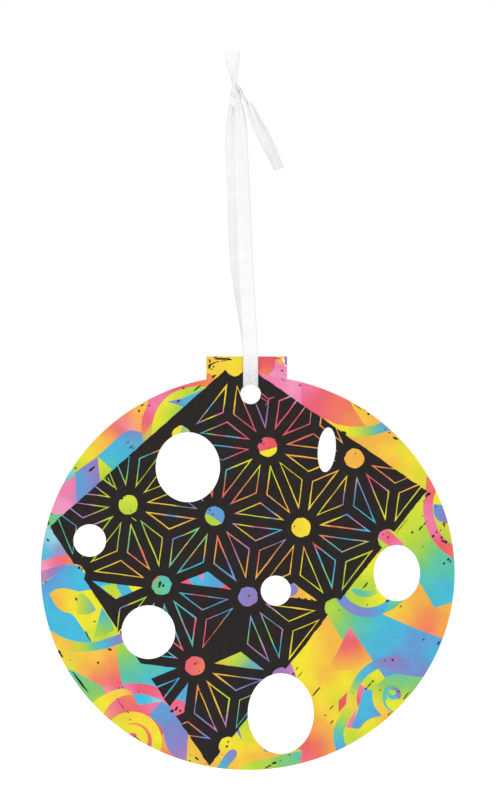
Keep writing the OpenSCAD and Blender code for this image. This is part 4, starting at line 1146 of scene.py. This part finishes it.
# A triangle takes its ink from the last patch laid over it.
layers = np.vstack([inside[:1], inside[1 + len(holes):]])
top = len(layers) - 1 - np.argmax(layers[::-1], axis=0)
sheet, corners, faces, source = card_piece("rainbow_print", points, triangles[kept], PRINT_Y,
                                           printed_ink(), "rainbow_print")
owner = np.repeat(top[kept][source], 3)
flat = corners[faces.ravel()][:, [0, 2]] / MM - DISC_AT
ink = sheet.data.color_attributes.new("ink", "FLOAT_COLOR", "CORNER")
ink.data.foreach_set("color", inked(flat, owner).astype(np.float32).ravel())
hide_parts("front_print")

# Scratch coating. A matt black film covers the middle of the print as one slanting five-sided patch.
# A stylus has scratched stars through it: a cleared dot at each centre and petals drawn round in one
# thin line. The black left inside each petal is an island, and crumbs of film lie on the bare print.
COATING_Y = PRINT_Y - SKIN_T
COATING_CORNERS = [(-48.7, 11.2), (-5.4, 49.9), (2.5, 48.8), (43.9, 20.1), (-9.4, -47.4)]
STAR_GAP = 21.4
STAR_SLOPE = -7.5
STAR_AT = np.array([-8.1, 13.9])
DOT_R = 2.4
PETAL_INSET = 1.15
SCRATCH_W = 0.28
PETAL_REACH = 7
COLUMNS = range(-3, 4)
ROWS = range(-3, 5)
STROKE_STEP = 0.6
STROKE_WAVER = 0.035
DOT_WAVER = 0.07
BORDER_STEP = 0.4
BORDER_WAVER = 0.06
STRAY_WAVER = 0.02
# Petals are named by column, row, which half of the grid's cell, and which side of that half.
CLEARED = [(-2, 1, 0, 0), (-1, 0, 1, 1), (0, 0, 1, 1), (-1, 1, 1, 1), (-2, 2, 0, 0), (-2, 2, 1, 2)]
UNTOUCHED = [(-1, 1, 1, 2), (0, -2, 0, 0), (0, -2, 0, 1), (0, -2, 0, 2), (-1, -2, 1, 0), (-1, -2, 1, 1),
             (-1, -1, 0, 0), (1, -2, 0, 0), (2, -2, 0, 2), (2, -2, 1, 1), (-2, 3, 0, 0), (-2, 3, 0, 1),
             (-2, 3, 1, 2), (-2, 1, 0, 2), (-3, 1, 1, 0)]
chance = np.random.default_rng(11)


def star(i, j):
    """The centre of the star in column i and row j of a triangular grid."""
    turn = np.radians([STAR_SLOPE, STAR_SLOPE - 60])
    return STAR_AT + STAR_GAP * (i * np.array([np.cos(turn[0]), np.sin(turn[0])])
                                 + j * np.array([np.cos(turn[1]), np.sin(turn[1])]))


def petal(i, j, half, side):
    """Each grid triangle is cut into three petals that meet at its middle."""
    if half == 0:
        ends = [star(i, j), star(i + 1, j), star(i, j + 1)]
    else:
        ends = [star(i + 1, j), star(i + 1, j + 1), star(i, j + 1)]
    return np.array([ends[side], ends[(side + 1) % 3], sum(ends) / 3])


def inset(p, distance):
    """A petal shrunk towards the centre of the circle that touches its sides, so that each side moves in
    by the same distance."""
    middle = (p[0] + p[1] + math.sqrt(3) * p[2]) / (2 + math.sqrt(3))
    return middle + (p - middle) * (1 - distance / (STAR_GAP / (4 + 2 * math.sqrt(3))))


def outside(p):
    """How far a point is outside the coating's border, negative inside it."""
    a = np.array(COATING_CORNERS, float)
    e = unit(np.roll(a, -1, axis=0) - a)
    return np.max((p[0] - a[:, 0]) * -e[:, 1] + (p[1] - a[:, 1]) * e[:, 0])


def ragged(loop, amount, spread=2):
    """An outline made uneven by hand: each point moves along the outline's normal by a random amount,
    averaged with its neighbours' so that the line wavers instead of bristling."""
    along = np.roll(loop, -1, axis=0) - np.roll(loop, 1, axis=0)
    normal = unit(np.column_stack([along[:, 1], -along[:, 0]]))
    noise = chance.normal(size=len(loop))
    noise = sum(np.roll(noise, k) for k in range(-spread, spread + 1)) / math.sqrt(2 * spread + 1)
    return loop + amount * noise[:, None] * normal


def fleck(x, z, long, wide, lean):
    """A crumb of coating: a thin ellipse with an uneven edge."""
    return ragged(ellipse(x, z, long / 2, wide / 2, -lean, max(int(long * 6), 12)), wide * 0.13, 1)


# Stray scratches: x, z, length and lean in degrees. Crumbs: x, z, length, width and lean.
STRAYS = [(3.9, 42.6, 2.4, -32), (4.9, 42.0, 2.6, 62), (6.0, 42.9, 1.3, 20), (-38.6, 10.8, 3.0, 30),
          (-34.0, 22.6, 2.2, -64), (-35.2, 23.4, 1.4, -50), (-28.0, 13.2, 1.8, -38), (9.8, -23.2, 1.2, 40)]
FLECKS = [
    (-6.4, 52.5, 3.6, 0.42, 3), (-8.7, 51.3, 1.9, 0.34, 24), (-9.4, 50.6, 1.2, 0.40, 80),
    (-8.3, 48.2, 1.3, 0.46, 30), (-4.4, 52.3, 1.2, 0.5, -10), (-7.4, 51.8, 1.0, 0.22, 12),
    (-5.8, 52.0, 1.6, 0.2, 10), (-9.3, 51.8, 0.7, 0.3, 40), (-25.9, 41.1, 1.0, 0.36, 30),
    (-26.7, 39.7, 0.5, 0.4, 80), (-28.6, 30.9, 1.3, 0.24, 38), (-29.4, 32.0, 0.9, 0.16, 34),
    (-28.0, 30.6, 0.9, 0.2, 40), (-38.2, 25.5, 2.0, 0.42, 42), (-38.7, 25.3, 1.2, 0.22, 42),
    (-42.2, 25.7, 0.8, 0.34, 48), (-12.4, 45.3, 2.4, 0.36, 38), (-17.0, 42.1, 1.0, 0.34, 36),
    (-15.8, 45.3, 0.5, 0.3, 0), (-24.2, 41.0, 0.4, 0.3, 0), (-49.0, 8.0, 0.9, 0.42, -55),
    (-48.8, 12.2, 0.9, 0.4, 80), (-48.2, 14.4, 0.4, 0.3, 60), (-42.1, -6.5, 0.9, 0.4, -55),
    (-39.2, -15.6, 2.8, 0.32, -62), (-33.8, -18.8, 1.2, 0.56, -32), (-46.2, -19.6, 1.4, 0.5, -64),
    (-45.7, -20.4, 1.0, 0.36, -64), (-41.0, -27.0, 6.6, 0.36, -53), (-36.7, -22.1, 0.5, 0.4, 0),
    (-37.6, -12.0, 0.5, 0.42, 0), (-31.0, -32.6, 2.6, 0.16, -54), (-29.4, -34.3, 0.7, 0.2, -60),
    (-32.0, -31.1, 0.5, 0.2, 0), (-31.5, -28.3, 0.4, 0.4, 10), (-30.8, -28.2, 0.3, 0.3, 10),
    (-28.9, -36.1, 0.4, 0.3, 0), (-27.2, -40.6, 2.4, 0.2, -42), (-41.4, 1.2, 0.8, 0.7, 0),
    (-40.6, 0.9, 0.5, 0.3, 30), (-12.5, -45.6, 1.3, 0.4, -40), (-14.2, -46.2, 0.9, 0.3, -20),
    (-5.2, -42.6, 0.9, 0.5, 30), (-4.8, -41.6, 0.5, 0.4, 0), (6.4, -46.7, 1.2, 0.5, 10),
    (5.2, -47.5, 1.4, 0.3, 20), (4.6, -47.9, 0.6, 0.3, 10), (10.2, -44.7, 0.5, 0.4, 0),
    (8.0, -46.1, 0.5, 0.2, 30), (12.9, -24.9, 1.9, 0.28, 50), (12.1, -23.5, 1.0, 0.16, 52),
    (11.2, -24.8, 0.7, 0.4, 60), (16.8, -29.2, 3.0, 0.3, 50), (20.6, -33.1, 1.5, 0.2, 48),
    (20.7, -36.6, 1.4, 0.18, 46), (19.0, -35.0, 0.4, 0.3, 0), (29.7, -27.7, 1.9, 0.26, 48),
    (29.0, -28.4, 0.7, 0.34, 20), (30.7, -26.7, 0.5, 0.34, 20), (38.9, -30.2, 2.6, 0.4, 50),
    (34.8, -34.6, 1.4, 0.2, 44), (46.9, -17.2, 1.2, 0.44, 52), (43.1, -16.4, 0.7, 0.24, 40),
    (35.6, -21.5, 0.6, 0.44, 0), (37.6, -8.3, 0.9, 0.24, 50), (34.2, -7.0, 0.7, 0.5, 30),
    (29.0, -2.9, 1.5, 0.3, 52), (28.4, -3.6, 0.7, 0.2, 50), (47.9, 7.8, 1.0, 0.7, -30),
    (48.6, 7.6, 0.6, 0.5, 30), (47.6, 8.6, 0.6, 0.4, 80), (48.2, 2.3, 0.5, 0.44, 0),
    (49.3, 3.3, 0.8, 0.6, 40), (49.8, 2.8, 0.7, 0.4, 70), (45.5, 9.0, 0.9, 0.44, 62),
    (46.3, 10.0, 0.5, 0.5, 0), (47.3, 10.4, 0.4, 0.3, 0), (48.2, 11.7, 1.2, 0.36, -60),
    (48.4, 12.2, 0.4, 0.3, 0), (42.5, 11.0, 1.5, 0.34, 50), (43.4, 12.0, 0.9, 0.3, 52),
    (40.4, 9.9, 0.6, 0.36, 50), (42.9, 14.0, 0.3, 0.3, 0), (44.0, 12.6, 0.3, 0.3, 0),
    (46.2, 16.2, 0.4, 0.3, 0), (44.3, 19.3, 1.1, 0.8, 20), (43.9, 18.9, 0.7, 0.6, 60),
    (37.8, 11.4, 4.6, 0.12, 52), (27.0, 40.7, 2.2, 0.14, -34), (28.6, 39.9, 0.9, 0.16, -34),
    (29.6, 38.9, 0.5, 0.4, 0), (36.3, 32.9, 1.5, 0.4, -30), (34.7, 34.4, 0.4, 0.4, 0),
    (12.8, 46.0, 0.8, 0.24, -28), (8.4, 49.6, 0.6, 0.4, 0), (8.6, 47.4, 1.3, 0.14, -34),
    (7.2, 52.6, 1.6, 0.2, -8), (9.2, 51.4, 0.8, 0.2, -60), (3.3, 32.2, 0.9, 0.5, 65),
    (3.9, 31.6, 0.6, 0.3, 20), (5.2, 30.6, 0.3, 0.3, 0), (-8.6, 14.3, 0.3, 0.3, 0),
    (-9.3, 15.4, 0.5, 0.3, 40), (-30.9, 18.2, 0.8, 0.5, 60), (-30.3, 18.9, 0.5, 0.4, 0),
    (11.4, 11.4, 0.6, 0.3, 60), (26.4, 29.3, 0.4, 0.3, 0), (-21.4, -2.6, 1.1, 0.9, 70),
    (-20.8, -3.2, 0.8, 0.5, 40), (-21.8, -3.4, 0.5, 0.4, 0), (0.2, -5.8, 0.4, 0.3, 0),
    (-12.9, -22.4, 0.6, 0.4, 0), (-12.4, -22.0, 0.4, 0.2, 60), (-17.6, -33.4, 1.3, 0.5, 50),
    (-18.6, -33.9, 1.0, 0.6, 40), (-16.6, -33.9, 0.5, 0.4, 0), (-16.0, -30.6, 0.3, 0.2, 0),
    (34.4, 8.7, 0.6, 0.4, 60), (33.2, 9.4, 0.3, 0.3, 0), (14.2, -6.4, 0.8, 0.3, -20),
    (15.8, -6.7, 0.7, 0.5, -30), (12.6, -6.2, 0.5, 0.3, 0), (-7.0, -21.5, 0.5, 0.2, 60),
    (-6.2, -21.2, 0.4, 0.2, 50), (23.6, 34.4, 1.3, 0.6, -30), (-7.9, 52.9, 1.2, 0.3, 5),
    (-9.0, 51.0, 0.8, 0.3, 60), (-9.4, 52.2, 0.5, 0.3, 80), (-8.9, 49.9, 0.6, 0.4, 40),
    (-34.8, -8.4, 1.4, 0.2, -60), (-35.8, -7.4, 1.2, 0.16, -58), (-32.2, -13.2, 0.9, 0.2, -60),
    (-8.4, 50.6, 0.5, 0.3, 20), (22.4, -9.2, 0.4, 0.3, 0), (33.6, -21.6, 0.3, 0.2, 0),
]


def coating():
    """Matt black scratch coating: near black, clouded with brown and violet, dry and finely toothed, with
    its raised tooth painted lighter: partly its own grain, partly a painted highlight.
    """
    made, tree, shader = material("scratch_black", 0.66, 0.18)
    look = grained(tree, 420.0, 3400.0)
    tone = ramped(tree, look.outputs["Cloud"], (0.35, 0.65))
    base = blended(tree, tone, linear(26, 21, 18), linear(34, 27, 27))
    # Painted highlight on the raised tooth, over the film's own grain: lighter where the bump stands
    # highest.
    tooth = ramped(tree, look.outputs["Tooth"], (0.55, 0.8))
    tree.links.new(blended(tree, tooth, base, linear(52, 44, 40)), shader.inputs["Base Color"])
    surfaced(tree, shader, look.outputs["Fibre"], 0.5, 0.74, look.outputs["Tooth"], PAPER_RELIEF, 0.6)
    return made


stars = [(i, j) for i in COLUMNS for j in ROWS]
dots = [ragged(ellipse(*star(i, j), DOT_R, DOT_R, count=44), DOT_WAVER, 1)
        for i, j in stars if outside(star(i, j)) < DOT_R]
petals = [(i, j, half, side) for i, j in stars for half in (0, 1) for side in (0, 1, 2)
          if outside(petal(i, j, half, side).mean(0)) < PETAL_REACH and (i, j, half, side) not in UNTOUCHED]
outer = [ragged(straight(inset(petal(*p), PETAL_INSET), STROKE_STEP), STROKE_WAVER) for p in petals]
inner = [ragged(straight(inset(petal(*p), PETAL_INSET + SCRATCH_W * chance.uniform(0.85, 1.2)), STROKE_STEP),
                STROKE_WAVER) for p in petals if p not in CLEARED]
border = ragged(straight(COATING_CORNERS, BORDER_STEP), BORDER_WAVER)
strays = [ragged(ellipse(x, z, long / 2, SCRATCH_W * 0.45, -lean, 16), STRAY_WAVER, 1)
          for x, z, long, lean in STRAYS]
crumbs = [fleck(*numbers) for numbers in FLECKS]
groups = [[outline], holes, [border], dots, outer, inner, strays, crumbs]
points, triangles, inside = divide([loop for group in groups for loop in group])
edges = np.cumsum([0] + [len(group) for group in groups])
on_card, in_hole, in_border, in_dot, in_outer, in_inner, in_stray, in_crumb = (
    inside[a:b].any(0) for a, b in zip(edges[:-1], edges[1:]))
film = on_card & ~in_hole & in_border & ~in_dot & ~in_stray
left_over = film & ~in_outer
standing = film & in_inner
loose = on_card & ~in_hole & in_crumb & ~left_over & ~standing
scratch_black = coating()
for name, node, mask in (("coating_film", "scratch_coating", left_over),
                         ("petal_islands", "scratch_islands", standing),
                         ("coating_crumbs", "coating_flecks", loose)):
    made = card_piece(name, points, triangles[mask], COATING_Y, scratch_black, "coating")[0]
    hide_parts(node)
